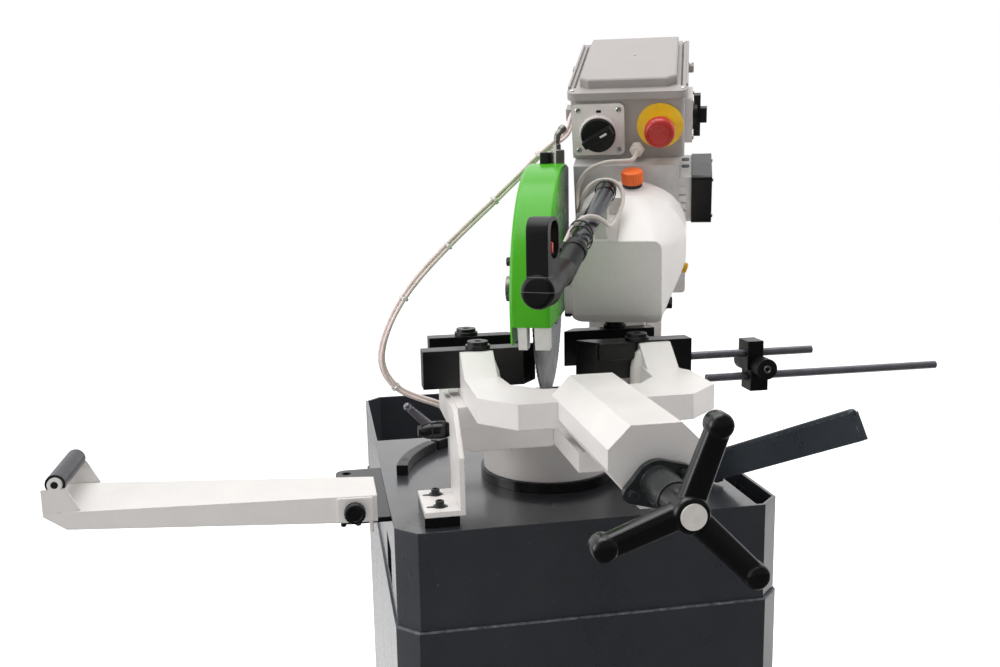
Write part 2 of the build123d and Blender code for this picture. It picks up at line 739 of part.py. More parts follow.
# Bracket, arc and lock levers

def base_bracket():
    """Upright plate on the base's left end with a foot on the table."""
    y0, y1 = BRACKET_Y
    shoulder_front, shoulder_back = BRACKET_SHOULDER_Z
    arm_low, arm_top = BRACKET_ARM_Z
    outline = [(y0, BRACKET_FOOT_Z), (y1, BRACKET_FOOT_Z), (y1, shoulder_back), (BRACKET_ARM_Y, arm_low)]
    outline += [(BRACKET_ARM_Y, arm_top), (BASE_FRONT, arm_top), (y0, shoulder_front)]
    side = -BASE_HALF
    plate = along_x(outline, side - BRACKET_T, side)
    top = BRACKET_FOOT_Z + BRACKET_T
    foot = block(side - BRACKET_FOOT_W, side, y0, y1, BRACKET_FOOT_Z, top)
    near, far = BRACKET_SLOT
    for row in (-BRACKET_SLOT_Y, BRACKET_SLOT_Y):
        y = (y0 + y1) / 2 + row
        foot -= block(
            side - far, side - near, y - BRACKET_SLOT_R, y + BRACKET_SLOT_R, BRACKET_FOOT_Z - 1, top + 1
        )
    return BENCH * (plate + foot)


def bracket_spacer():
    side = -BASE_HALF
    y0 = BRACKET_Y[0] + SPACER_INSET[0]
    y1 = BRACKET_Y[1] - SPACER_INSET[1]
    return BENCH * block(side - BRACKET_FOOT_W, side - BRACKET_T, y0, y1, 0, BRACKET_FOOT_Z)


def stop_arc():
    """Segment of a ring on two feet, round the turret's axis."""
    low, high = ARC_Z
    ring = rod_z(ARC_R[1], low, high, 0, 0) - rod_z(ARC_R[0], low - 1, high + 1, 0, 0)
    feet = rod_z(ARC_R[1], 0, high, 0, 0) - rod_z(ARC_R[0], -1, high + 1, 0, 0)
    start, end = ARC_ANGLES
    arc = ring & sector(start, end, high)
    arc += feet & sector(end - ARC_FOOT, end, high)
    arc += feet & sector(start, start + ARC_FOOT, high)
    middle = sum(ARC_R) / 2
    angle = math.radians(end - ARC_HOLE_INSET)
    arc -= rod_z(ARC_HOLE_R, low - 1, high + 1, middle * math.cos(angle), middle * math.sin(angle))
    return BENCH * arc


def sector(start, end, height):
    """Wedge from the axis between two angles."""
    reach = 2 * ARC_R[1]
    points = [(0, 0)]
    for angle in (start, (start + end) / 2, end):
        points.append((reach * math.cos(math.radians(angle)), reach * math.sin(math.radians(angle))))
    return along_z(points, 0, height)


def vice_lock_lever():
    """Clamp lever screwed into the base's left end."""
    inner = -BASE_HALF - FACE_GAP
    outer = inner - LOCK_HUB_L
    lever = rod_x(LOCK_HUB_R, outer, inner, LOCK_Y, LOCK_Z)
    lever += rod_x(STUD_R, inner - 1, LOCK_STUD_L - BASE_HALF, LOCK_Y, LOCK_Z)
    root = (outer + LOCK_ARM_INSET, LOCK_Y, LOCK_Z)
    tip = (outer - LOCK_ARM_END[0], LOCK_Y, LOCK_Z + LOCK_ARM_END[1])
    place, length = toward(root, tip)
    lever += place * Cone(*LOCK_ARM_R, length, align=ON_BASE)
    return BENCH * (lever + Pos(*tip) * Sphere(LOCK_BALL_R))


def turret_lock_lever():
    """Flat bar on an upright clamp hub that stands on the table."""
    hub = Pos(CLAMP_X, CLAMP_Y, FACE_GAP) * Cylinder(CLAMP_HUB_R, CLAMP_HUB_H, align=ON_BASE)
    height, thickness, length = CLAMP_BAR
    reach, lift = CLAMP_BAR_START
    heading = Pos(CLAMP_X, CLAMP_Y, 0) * Rot(0, 0, CLAMP_HEADING)
    bar = Rot(0, -CLAMP_RISE, 0) * block(0, length, -thickness / 2, thickness / 2, -height / 2, height / 2)
    neck = block(0, CLAMP_NECK_L, -thickness / 2, thickness / 2, *CLAMP_NECK_Z)
    bar = heading * (Pos(reach, 0, lift) * bar + neck)
    return BENCH * (hub + bar)


# Length stop on the right moving jaw

def stop_rod_upper():
    x0 = MOVING_JAW_REACH
    return BENCH * rod_x(STOP_ROD_R, x0, STOP_UPPER_END, STOP_ROD_Y, STOP_UPPER_Z)


def stop_rod_lower():
    return BENCH * rod_x(STOP_ROD_R, *STOP_LOWER_X, STOP_ROD_Y, STOP_LOWER_Z)


def stop_block():
    """Cross block: its upper half clamps the fixed rod, its foot the sliding rod."""
    y0 = STOP_ROD_Y - STOP_BLOCK_T / 2
    y1 = STOP_ROD_Y + STOP_BLOCK_T / 2
    left = STOP_BLOCK_TOP[0]
    right = STOP_BLOCK_FOOT[1]
    body = block(*STOP_BLOCK_TOP[:2], y0, y1, *STOP_BLOCK_TOP[2:])
    body += block(*STOP_BLOCK_FOOT[:2], y0, y1, *STOP_BLOCK_FOOT[2:])
    for z in (STOP_UPPER_Z, STOP_LOWER_Z):
        body -= rod_x(STOP_ROD_R + RUNNING_GAP, left - 1, right + 1, STOP_ROD_Y, z)
    depth = STOP_STUD_L + FACE_GAP
    for start, end in ((y0 - 1, y0 + depth), (y1 - depth, y1 + 1)):
        body -= rod_y(STUD_R + RUNNING_GAP, start, end, STOP_KNOB_X, STOP_KNOB_Z)
    return BENCH * body


def stop_knob(side):
    """Round clamp knob with its stud, on the front (-1) or the back (1) of the block."""
    face = STOP_ROD_Y + side * (STOP_BLOCK_T / 2 + FACE_GAP)
    near, far = sorted((face, face + side * STOP_KNOB_L))
    knob = rod_y(STOP_KNOB_R, near, far, STOP_KNOB_X, STOP_KNOB_Z)
    near, far = sorted((face - side * STOP_STUD_L, face + side))
    return BENCH * (knob + rod_y(STUD_R, near, far, STOP_KNOB_X, STOP_KNOB_Z))


# Work support on the stand's left side

def support_bracket():
    """Plate on the stand's side with the bar that stands inside the arm."""
    x0, x1 = SUPPORT_PLATE_X
    y0, y1 = SUPPORT_PLATE_Y
    top = TABLE_HEIGHT - SUPPORT_PLATE_DROP
    low = top - SUPPORT_PLATE_T
    plate = block(x0, x1, y0, y1, low, top)
    plate = fillet(plate.edges().filter_by(Axis.Z).group_by(Axis.X)[0], SUPPORT_PLATE_ROUND)
    bar_y = SUPPORT_ROOT_Y[0] + SUPPORT_BAR_Y
    plate += block(*SUPPORT_BAR_X, bar_y, bar_y + SUPPORT_BAR_T, top - 1, top + SUPPORT_BAR_H)
    inset_x, inset_y = SUPPORT_PLATE_HOLE
    hole = rod_z(SUPPORT_PLATE_HOLE_R, low - 1, top + 1, x0 + inset_x, y1 - inset_y)
    return LEFT_SIDE * (plate - hole)


def support_arm():
    """Tapered channel, open below, with two cheeks for the roller."""
    base = TABLE_HEIGHT - SUPPORT_PLATE_DROP + FACE_GAP
    top = base + SUPPORT_ARM_H
    root = (SUPPORT_ROOT_X, *SUPPORT_ROOT_Y)
    tip = (SUPPORT_TIP_X, *SUPPORT_TIP_Y)
    sheet = SUPPORT_SHEET
    outline = [(root[0], root[1]), (root[0], root[2]), (tip[0], tip[2]), (tip[0], tip[1])]
    hollow = [(root[0] + 1, root[1] + sheet), (root[0] + 1, root[2] - sheet)]
    hollow += [(tip[0] + sheet, tip[2] - sheet), (tip[0] + sheet, tip[1] + sheet)]
    arm = along_z(outline, base, top)
    low_tip = top - SUPPORT_TIP_H
    bevel_x, bevel_z = SUPPORT_TIP_BEVEL
    level_end = root[0] - SUPPORT_LEVEL_L
    under = [(level_end, base - 1), (level_end, base), (tip[0] + bevel_x, low_tip)]
    under += [(tip[0], low_tip + bevel_z), (tip[0] - 1, low_tip + bevel_z), (tip[0] - 1, base - 1)]
    arm -= along_y(under, min(root[1], tip[1]) - 1, max(root[2], tip[2]) + 1)
    arm -= along_z(hollow, base - 1, top - sheet)
    cheek_top = TABLE_HEIGHT + CHEEK_TOP
    cheek = [(tip[0], top - 1), (tip[0], cheek_top), (tip[0] + CHEEK_L[0], cheek_top)]
    cheek.append((tip[0] + CHEEK_L[1], top - 1))
    for y in (tip[1], tip[2] - sheet):
        arm += along_y(cheek, y, y + sheet)
        arm += rod_y(AXLE_EAR_R, y, y + sheet, ROLLER_X, TABLE_HEIGHT + ROLLER_Z)
    arm -= rod_y(ROLLER_AXLE_R + RUNNING_GAP, tip[1] - 1, tip[2] + 1, ROLLER_X, TABLE_HEIGHT + ROLLER_Z)
    wall = knob_face_y()
    arm -= rod_y(STUD_R + RUNNING_GAP, wall - 2 * sheet, wall + 2 * sheet, SUPPORT_KNOB_X, support_knob_z())
    return LEFT_SIDE * arm


def support_knob_z():
    return TABLE_HEIGHT + SUPPORT_KNOB_Z


def knob_face_y():
    """Front of the arm's wall where its knob sits."""
    share = (SUPPORT_KNOB_X - SUPPORT_ROOT_X) / (SUPPORT_TIP_X - SUPPORT_ROOT_X)
    return SUPPORT_ROOT_Y[0] + share * (SUPPORT_TIP_Y[0] - SUPPORT_ROOT_Y[0])


def support_roller():
    y0 = SUPPORT_TIP_Y[0]
    y1 = SUPPORT_TIP_Y[1]
    inset = SUPPORT_SHEET + FACE_GAP
    z = TABLE_HEIGHT + ROLLER_Z
    roller = rod_y(ROLLER_R, y0 + inset, y1 - inset, ROLLER_X, z)
    return LEFT_SIDE * (roller + rod_y(ROLLER_AXLE_R, y0, y1, ROLLER_X, z))


def support_knob():
    face = knob_face_y() - SUPPORT_KNOB_GAP
    bar_front = SUPPORT_ROOT_Y[0] + SUPPORT_BAR_Y - FACE_GAP
    knob = rod_y(SUPPORT_KNOB_R, face - SUPPORT_KNOB_L, face, SUPPORT_KNOB_X, support_knob_z())
    return LEFT_SIDE * (knob + rod_y(STUD_R, face - 1, bar_front, SUPPORT_KNOB_X, support_knob_z()))


# Blade and its spindle, in the level head frame at the blade's centre

def blade():
    step = 2 * math.pi / TOOTH_COUNT
    points = []
    for tooth in range(TOOTH_COUNT):
        for radius, turn in ((BLADE_R, 0.0), (BLADE_R - TOOTH_DEPTH, TOOTH_GULLET)):
            angle = (tooth + turn) * step
            points.append((radius * math.cos(angle), radius * math.sin(angle)))
    disc = along_x(points, -BLADE_T / 2, BLADE_T / 2)
    return LEVEL * (disc - rod_x(BLADE_BORE, -BLADE_T, BLADE_T, 0, 0))


def blade_spindle():
    start = BLADE_T / 2
    spindle = rod_x(CLAMP_DISC_R, start, start + CLAMP_DISC_T, 0, 0)
    spindle += rod_x(SPINDLE_R, start, SPINDLE_END, 0, 0)
    return LEVEL * (spindle + rod_x(BLADE_BORE - RUNNING_GAP, -BLADE_T / 2, start + 1, 0, 0))


def blade_flange():
    """Outer clamp disc with the bright nut cover that shows left of the guard."""
    start = -BLADE_T / 2
    disc = rod_x(CLAMP_DISC_R, start - CLAMP_DISC_T, start, 0, 0)
    return LEVEL * (disc + rod_x(COVER_R, COVER_END, start, 0, 0))


def blade_guard():
    """Hood round the upper half of the blade, open below, with a skirt on its left side.

    Its right side has a notch over the spindle, so that the hood lifts off.
    Behind the spindle the right side is cut away, in front of the gearbox.
    """
    half = GUARD_W / 2
    outer = rod_x(GUARD_R, -half, half, 0, 0)
    outer = fillet(outer.edges().filter_by(GeomType.CIRCLE), GUARD_ROUND)
    inside = half - GUARD_WALL
    reach = GUARD_R + 1
    hood = outer - rod_x(GUARD_R - GUARD_WALL, -inside, inside, 0, 0)
    hood -= block(-inside, half + 1, -reach, reach, -reach, GUARD_MOUTH)
    hood -= block(-half - 1, -inside, -reach, reach, -reach, GUARD_SKIRT)
    notch = SPINDLE_R + SPINDLE_ROOM
    hood -= rod_x(notch, 0, half + 1, 0, 0)
    hood -= block(0, half + 1, -notch, notch, GUARD_MOUTH - 1, 0)
    hood -= block(GUARD_REAR_U, half + 1, GUARD_REAR_S, reach, GUARD_MOUTH - 1, reach)
    return LEVEL * (hood - rod_x(COVER_R + COVER_ROOM, -half - 1, 0, 0, 0))


def guard_fork():
    """White guide with two prongs, one on each side of the blade, under the hood's front end."""
    s0, s1 = FORK_GUIDE_S
    half = GUARD_W / 2 - GUARD_WALL
    slot_top = FORK_GUIDE_TOP - FORK_GUIDE_BRIDGE
    fork = block(FORK_GUIDE_INSET - half, half, s0, s1, FORK_GUIDE_LOW, FORK_GUIDE_TOP)
    fork -= block(-FORK_GUIDE_SLOT, FORK_GUIDE_SLOT, s0 - 1, s1 + 1, FORK_GUIDE_LOW - 1, slot_top)
    gullet = rod_x(BLADE_R + BLADE_ROOM, -FORK_GUIDE_SLOT, FORK_GUIDE_SLOT, 0, 0)
    return LEVEL * ((fork - gullet) & rod_x(GUARD_R - GUARD_WALL - FIT, -half, half, 0, 0))


def coolant_block():
    """Block on the hood's crown that takes the coolant tap, with the clip for the hose."""
    width, depth, height = TAP_BLOCK
    clip_width, clip_depth, clip_drop = TAP_CLIP
    low = GUARD_R - GUARD_WALL
    top = GUARD_R + height
    left = TAP_U - width / 2
    front = -depth / 2
    body = block(left, left + width, front, -front, low, top)
    body += block(left - clip_width, left + 1, front, front + clip_depth, low, top - clip_drop)
    body -= rod_x(GUARD_R + RUNNING_GAP, -GUARD_W, GUARD_W, 0, 0)
    neck_top = top + TAP_NECK_H
    body += rod_z(TAP_KNOB_R, top - 1, neck_top, TAP_U, 0)
    hole_end = neck_top - TAP_STEM_L - 1
    return LEVEL * (body - rod_z(TAP_STEM_R + RUNNING_GAP, hole_end, neck_top + 1, TAP_U, 0))


def coolant_tap():
    low = GUARD_R + TAP_BLOCK[2] + TAP_NECK_H + FACE_GAP
    wing_r, wing_reach, wing_z = TAP_WING
    tap = rod_z(TAP_STEM_R, low - TAP_STEM_L, low + 1, TAP_U, 0)
    tap += rod_z(TAP_KNOB_R, low, low + TAP_KNOB_H, TAP_U, 0)
    return LEVEL * (tap + rod_y(wing_r, -wing_reach, wing_reach, TAP_U, low + wing_z))


# Gearbox, motor and control box, in the tilted head frame

def rounded_section(v, u_span, w_span, radius):
    """Rounded rectangle across the head at depth v."""
    width = u_span[1] - u_span[0]
    height = w_span[1] - w_span[0]
    middle = Pos(sum(u_span) / 2, sum(w_span) / 2)
    return Plane.XZ.offset(-v) * middle * RectangleRounded(width, height, radius)


def gearbox():
    """Gear casing that flares from its flat front to the motor, with its hinge arm and bosses."""
    u0, u1 = GEAR_U
    front = rounded_section(GEAR_FRONT, GEAR_U, (GEAR_LOW, GEAR_TOP), GEAR_FRONT_ROUND)
    back = rounded_section(GEAR_REAR_V[0], GEAR_REAR_U, GEAR_REAR_W, GEAR_REAR_ROUND)
    body = loft([front, back], ruled=True)
    rear = rounded_section(GEAR_REAR_V[0], GEAR_REAR_U, GEAR_REAR_W, GEAR_REAR_ROUND)
    body += extrude(rear, amount=GEAR_REAR_V[1] - GEAR_REAR_V[0], dir=(0, 1, 0))
    step_v, step_w = GEAR_BEVEL
    bevel = [(GEAR_FRONT - 1, GEAR_LOW + step_w), (GEAR_FRONT + step_v, GEAR_LOW - step_w)]
    bevel.append((GEAR_FRONT - 1, GEAR_LOW - step_w))
    body -= along_x(bevel, GEAR_REAR_U[0], GEAR_REAR_U[1])
    shelf_back = GEAR_REAR_V[0] - GEAR_SHELF_WALL
    body -= block(GEAR_REAR_U[0], GEAR_SHELF_U, GEAR_FRONT - 1, shelf_back, GEAR_TOP, GEAR_REAR_W[1] + 1)
    body += rod_z(OIL_NECK_R + OIL_NECK_LIP, AXIS_W, OIL_NECK_W, OIL_U, OIL_V)
    plug_end = OIL_NECK_W - OIL_PLUG_L - BOLT_ROOM
    body -= rod_z(OIL_PLUG_R + RUNNING_GAP, plug_end, OIL_NECK_W + 1, OIL_U, OIL_V)
    body += hinge_arm()
    arm_u0, arm_u1 = hinge_arm_span()
    hinge_v, hinge_w = hinge_in_head()
    body -= rod_x(HINGE_R + RUNNING_GAP, arm_u0 - 1, arm_u1 + 1, hinge_v, hinge_w)
    body += rod_x(SPINDLE_BOSS_R, GUARD_W / 2, u0 + 1, 0, 0)
    body -= rod_x(SPINDLE_R + RUNNING_GAP, GUARD_W / 2 - 1, SPINDLE_END + 1, 0, 0)
    return HEAD * body + LEVEL * handle_saddle()


def handle_saddle():
    """Block on the casing's shelf that the handle's tube lies in."""
    place, length = toward(TUBE_TOP, TUBE_END)
    back = TUBE_TOP[1]
    front = back - HANDLE_SADDLE_L
    top = TUBE_TOP[2] - HANDLE_SADDLE_DROP
    fall = HANDLE_SADDLE_L * (TUBE_TOP[2] - TUBE_END[2]) / (TUBE_TOP[1] - TUBE_END[1])
    outline = [(front, HANDLE_SADDLE_LOW), (back, HANDLE_SADDLE_LOW), (back, top), (front, top - fall)]
    saddle = along_x(outline, *HANDLE_SADDLE_U)
    return saddle - place * Cylinder(TUBE_R + RUNNING_GAP, length, align=ON_BASE)


def hinge_arm_span():
    """The hinge arm's two sides, between the turret's lugs."""
    return ARM_U[0] + LUG_W + ARM_SIDE_GAP, ARM_U[1] - LUG_W - ARM_SIDE_GAP


def hinge_arm():
    """Web from under the casing back and down to the eye on the hinge pin."""
    hinge_v, hinge_w = hinge_in_head()
    span = hinge_arm_span()
    web_w = GEAR_LOW + HINGE_WEB_INSET
    back_v, back_w = HINGE_WEB_BACK
    front_v, front_w = HINGE_WEB_FRONT
    web = [(HINGE_WEB_V[0], web_w), (HINGE_WEB_V[1], web_w)]
    web += [(hinge_v + back_v, hinge_w + back_w), (hinge_v - front_v, hinge_w - front_w)]
    return along_x(web, *span) + rod_x(HINGE_EYE_R, *span, hinge_v, hinge_w)


def hinge_in_head():
    """The tilt hinge's place in the tilted frame."""
    s = HINGE_BACK - BLADE_BACK
    z = HINGE_Z - BLADE_Z
    turn = math.radians(TILT)
    return s * math.cos(turn) + z * math.sin(turn), z * math.cos(turn) - s * math.sin(turn)


def motor():
    """Finned motor with its flange, fan cover and the base of the terminal box."""
    start = GEAR_REAR_V[1]
    body_start = start + MOTOR_FLANGE_T
    body_end = body_start + MOTOR_BODY_L
    pitch = 2 * math.pi / MOTOR_FINS
    rise = [(MOTOR_CORE_R, -MOTOR_FIN_ROOT), (MOTOR_FIN_R, -MOTOR_FIN_TIP)]
    fall = [(MOTOR_FIN_R, MOTOR_FIN_TIP), (MOTOR_CORE_R, MOTOR_FIN_ROOT)]
    outline = []
    for fin in range(MOTOR_FINS):
        for radius, turn in rise + fall:
            angle = (fin + turn) * pitch
            outline.append((AXIS_U + radius * math.cos(angle), AXIS_W + radius * math.sin(angle)))
    body = along_y(outline, body_start, body_end)
    body += rod_y(MOTOR_FLANGE_R, start, body_start, AXIS_U, AXIS_W)
    body += rod_y(FAN_COVER_R, body_end, body_end + FAN_COVER_L, AXIS_U, AXIS_W)
    inner = TERMINAL_BASE_U - TERMINAL_NECK
    return HEAD * (body + block(inner, TERMINAL_BASE_U, *TERMINAL_V, *TERMINAL_W))


def terminal_box():
    v0, v1 = TERMINAL_V
    w0, w1 = TERMINAL_W
    lip_v, lip_w = TERMINAL_LIP
    cover = block(TERMINAL_BASE_U, TERMINAL_END_U, v0 - lip_v, v1 + lip_v, w0 - lip_w, w1 + lip_w)
    return HEAD * fillet(cover.edges().filter_by(Axis.X), TERMINAL_ROUND)


def box_bracket():
    """Saddle plate behind the motor's flange that carries the control box."""
    start = GEAR_REAR_V[1] + MOTOR_FLANGE_T
    top = BOX_W[0]
    plate = block(*BOX_BRACKET_U, start, start + BRACKET_PLATE, BOX_BRACKET_LOW, top)
    plate += block(*BOX_BRACKET_U, start, BOX_BRACKET_BACK, top - BRACKET_PLATE, top)
    plate -= rod_y(MOTOR_FIN_R + FIT, start - 1, BOX_BRACKET_BACK, AXIS_U, AXIS_W)
    inner = TERMINAL_BASE_U - TERMINAL_NECK
    near = TERMINAL_V[0] - TERMINAL_ROOM
    far = TERMINAL_V[1] + TERMINAL_ROOM
    return HEAD * (plate - block(inner, TERMINAL_END_U, near, far, 0, TERMINAL_W[1] + TERMINAL_ROOM))


def control_box():
    u0, u1 = BOX_U
    v0, v1 = BOX_V
    w0, w1 = BOX_W
    wall = BOX_WALL
    box = fillet(block(u0, u1, v0, v1, w0, w1).edges().filter_by(Axis.Z), BOX_ROUND)
    box -= block(u0 + wall, u1 - wall, v0 + wall, v1 - wall, w0 + wall, w1 + 1)
    gland_low = BUNDLE_GLAND_W - BUNDLE_SIDE
    box += block(u0 - 2 * BUNDLE_SIDE, u0 + 1, *BUNDLE_GLAND_V, gland_low, gland_low + 2 * BUNDLE_SIDE)
    return HEAD * (box - rod_y(ESTOP_STEM_R + FIT, v0 - 1, v0 + wall + 1, ESTOP_U, ESTOP_W))


def control_lid():
    u0, u1 = BOX_U
    v0, v1 = BOX_V
    low = BOX_W[1]
    rim = block(u0 - LID_RIM, u1 + LID_RIM, v0 - LID_RIM, v1 + LID_RIM, low, low + LID_RIM_H)
    rim = fillet(rim.edges().filter_by(Axis.Z), BOX_ROUND + LID_RIM)
    du, dv = LID_PANEL_INSET
    top = low + LID_RIM_H + LID_PANEL_H
    panel = block(u0 + du, u1 - du, v0 + dv, v1 - dv, low + LID_RIM_H - 1, top)
    panel = chamfer(panel.edges().filter_by(Axis.Z).group_by(Axis.Y)[0], LID_PANEL_CORNER)
    return HEAD * (rim + chamfer(panel.edges().group_by(Axis.Z)[-1], LID_PANEL_BEVEL))


def switch_plate():
    width, height = SWITCH_SIZE
    front = BOX_V[0] - SWITCH_T
    u0 = SWITCH_U - width / 2
    w0 = SWITCH_W - height / 2
    plate = block(u0, u0 + width, front, BOX_V[0], w0, w0 + height)
    plate = fillet(plate.edges().filter_by(Axis.Y), SWITCH_ROUND)
    shaft_r, shaft_l = SELECTOR_SHAFT
    return HEAD * (plate - rod_y(shaft_r + RUNNING_GAP, front - 1, front + shaft_l, SWITCH_U, SELECTOR_W))


def selector_knob():
    """Rotary selector with a raised finger bar."""
    back = BOX_V[0] - SWITCH_T - FACE_GAP
    half = SELECTOR_BAR_HALF
    shaft_r, shaft_l = SELECTOR_SHAFT
    bar_back = back - SELECTOR_BASE_T + 1
    knob = rod_y(SELECTOR_R, back - SELECTOR_BASE_T, back, SWITCH_U, SELECTOR_W)
    bar = block(1 - SELECTOR_R, SELECTOR_R - 1, back - SELECTOR_L, bar_back, -half, half)
    knob += Pos(SWITCH_U, 0, SELECTOR_W) * Rot(0, SELECTOR_TURN, 0) * bar
    return HEAD * (knob + rod_y(shaft_r, back - 1, back + shaft_l, SWITCH_U, SELECTOR_W))


def estop_disc():
    """Round plate with the collar that guides the stop button."""
    back = BOX_V[0]
    disc = rod_y(ESTOP_DISC_R, back - ESTOP_DISC_T, back, ESTOP_U, ESTOP_W)
    disc += rod_y(ESTOP_COLLAR_R, back - ESTOP_COLLAR_L, back, ESTOP_U, ESTOP_W)
    front = back - ESTOP_COLLAR_L - 1
    return HEAD * (disc - rod_y(ESTOP_STEM_R + RUNNING_GAP, front, back + 1, ESTOP_U, ESTOP_W))


def estop_button():
    collar_front = BOX_V[0] - ESTOP_COLLAR_L
    back = collar_front - ESTOP_TRAVEL - FACE_GAP
    head = rod_y(ESTOP_HEAD_R, back - ESTOP_HEAD_T, back, ESTOP_U, ESTOP_W)
    head = fillet(head.edges().filter_by(GeomType.CIRCLE).group_by(Axis.Y)[0], ESTOP_HEAD_ROUND)
    return HEAD * (head + rod_y(ESTOP_STEM_R, back - 1, BOX_V[0] - 2, ESTOP_U, ESTOP_W))


def control_gland():
    """Hexagonal cable gland on the control box's front."""
    front = BOX_V[0] - CABLE_GLAND_L
    nut_r, nut_start, nut_length = CABLE_NUT
    gland = rod_y(CABLE_GLAND_R, front, BOX_V[0], CABLE_GLAND_U, CABLE_GLAND_W)
    hexagon = Plane.XZ.offset(nut_start - BOX_V[0]) * RegularPolygon(radius=nut_r, side_count=6)
    nut = extrude(hexagon, amount=nut_length, dir=(0, -1, 0))
    return HEAD * (gland + Pos(CABLE_GLAND_U, 0, CABLE_GLAND_W) * nut)


def isolator_base():
    depth, height = ISOLATOR_SIZE
    u0 = BOX_U[1]
    v0 = ISOLATOR_V - depth / 2
    w0 = ISOLATOR_W - height / 2
    face = u0 + ISOLATOR_T
    base = fillet(block(u0, face, v0, v0 + depth, w0, w0 + height).edges().filter_by(Axis.X), ISOLATOR_ROUND)
    shaft_r, shaft_l = ISOLATOR_SHAFT
    return HEAD * (base - rod_x(shaft_r + RUNNING_GAP, face - shaft_l, face + 1, ISOLATOR_V, ISOLATOR_W))


def isolator_handle():
    u0 = BOX_U[1] + ISOLATOR_T + FACE_GAP
    hub_r, hub_t = ISOLATOR_HUB
    shaft_r, shaft_l = ISOLATOR_SHAFT
    half, reach, bar_out = ISOLATOR_BAR
    handle = rod_x(hub_r, u0, u0 + hub_t, ISOLATOR_V, ISOLATOR_W)
    handle += rod_x(shaft_r, u0 - shaft_l, u0 + 1, ISOLATOR_V, ISOLATOR_W)
    bar = block(1, bar_out, -half, half, -reach, reach)
    half, reach, grip_out = ISOLATOR_GRIP
    bar += block(1, grip_out, -half, half, -reach, reach)
    return HEAD * (handle + Pos(u0, ISOLATOR_V, ISOLATOR_W) * bar)


def oil_cap():
    """Filler cap with finger flats, on the gearbox's neck."""
    low = OIL_NECK_W + FACE_GAP
    foot_top = low + OIL_CAP_FOOT
    flute_top = foot_top + OIL_CAP_H - OIL_CAP_RIM
    cap = rod_z(OIL_NECK_R, low, foot_top + 1, OIL_U, OIL_V)
    cap += rod_z(OIL_CAP_R, foot_top, foot_top + OIL_CAP_H, OIL_U, OIL_V)
    cap += rod_z(OIL_PLUG_R, low - OIL_PLUG_L, low + 1, OIL_U, OIL_V)
    reach = OIL_CAP_R + OIL_CAP_FLUTE_OUT
    for flute in range(OIL_CAP_FLUTES):
        angle = 2 * math.pi * flute / OIL_CAP_FLUTES
        u = OIL_U + reach * math.cos(angle)
        v = OIL_V + reach * math.sin(angle)
        cap -= rod_z(OIL_CAP_FLUTE_R, foot_top - 1, flute_top, u, v)
    return HEAD * cap


# Handle: its own frame has A from the gearbox to the operator and Z up

def handle_frame():
    line = Vector(*TUBE_END) - Vector(*TUBE_TOP)
    return LEVEL * Pos(*TUBE_END) * Rot(0, 0, math.degrees(math.atan2(line.Y, line.X)))


def cable_seat():
    """Where the cable meets the sleeve beside the tube, and the tube's direction there."""
    line = (Vector(*TUBE_END) - Vector(*TUBE_TOP)).normalized()
    side = Vector(*HANDLE_CABLE_SIDE)
    side = (side - line * side.dot(line)).normalized()
    return Vector(*TUBE_END) - line * SLEEVE_L + side * HANDLE_CABLE_SEAT, line


def handle_tube():
    place, length = toward(TUBE_TOP, TUBE_END)
    return LEVEL * place * Cylinder(TUBE_R, length, align=ON_BASE)


def handle_grip():
    """Sleeve on the tube, closed D-grip and the round end below it."""
    place, length = toward(TUBE_TOP, TUBE_END)
    half = GRIP_T / 2
    ring = block(*GRIP_A, -half, half, *GRIP_Z)
    ring = fillet(ring.edges().filter_by(Axis.Y), GRIP_ROUND)
    hole = block(*GRIP_HOLE_A, -half - 1, half + 1, *GRIP_HOLE_Z)
    ring -= fillet(hole.edges().filter_by(Axis.Y), GRIP_HOLE_ROUND)
    bulb_z = GRIP_Z[0] + GRIP_BULB_RISE
    bulb_end = GRIP_A[1] + GRIP_BULB_OUT
    bulb = rod_x(GRIP_BULB_R, bulb_end - GRIP_BULB_L, bulb_end, 0, bulb_z)
    ring += fillet(bulb.edges().filter_by(GeomType.CIRCLE), GRIP_BULB_ROUND)
    elbow_in, elbow_step = GRIP_ELBOW
    elbow, reach = toward((GRIP_A[1] - elbow_in, 0, bulb_z), GRIP_ELBOW_END)
    ring += elbow * Cone(GRIP_BULB_R - elbow_step, SLEEVE_R, reach, align=ON_BASE)
    a0 = GRIP_HOLE_A[1] - GRIP_HOLE_ROUND
    pocket_end = GRIP_HOLE_A[1] + TRIGGER_IN + TRIGGER_TRAVEL + 1
    half_t = TRIGGER_T / 2 + FIT
    ring -= block(a0, pocket_end, -half_t, half_t, TRIGGER_Z[0] - FIT, TRIGGER_Z[1] + FIT)
    sleeve_start = place * Pos(0, 0, length - SLEEVE_L)
    sleeve = sleeve_start * Cylinder(SLEEVE_R, SLEEVE_L + SLEEVE_END, align=ON_BASE)
    sleeve += sleeve_start * Cylinder(COLLAR_R, COLLAR_L, align=ON_BASE)
    seat, line = cable_seat()
    boss, reach = toward(tuple(seat), tuple(seat + line * CABLE_BOSS_L))
    sleeve += boss * Cylinder(CABLE_BOSS_R, reach, align=ON_BASE)
    grip = handle_frame() * ring + LEVEL * sleeve
    return grip - LEVEL * place * Cylinder(TUBE_R, length, align=ON_BASE)


def trigger():
    a0 = GRIP_HOLE_A[1] - TRIGGER_OUT
    a1 = GRIP_HOLE_A[1] + TRIGGER_IN
    half = TRIGGER_T / 2
    body = block(a0, a1, -half, half, *TRIGGER_Z)
    return handle_frame() * fillet(body.edges().filter_by(Axis.Y).group_by(Axis.X)[0], TRIGGER_ROUND)


# Cables

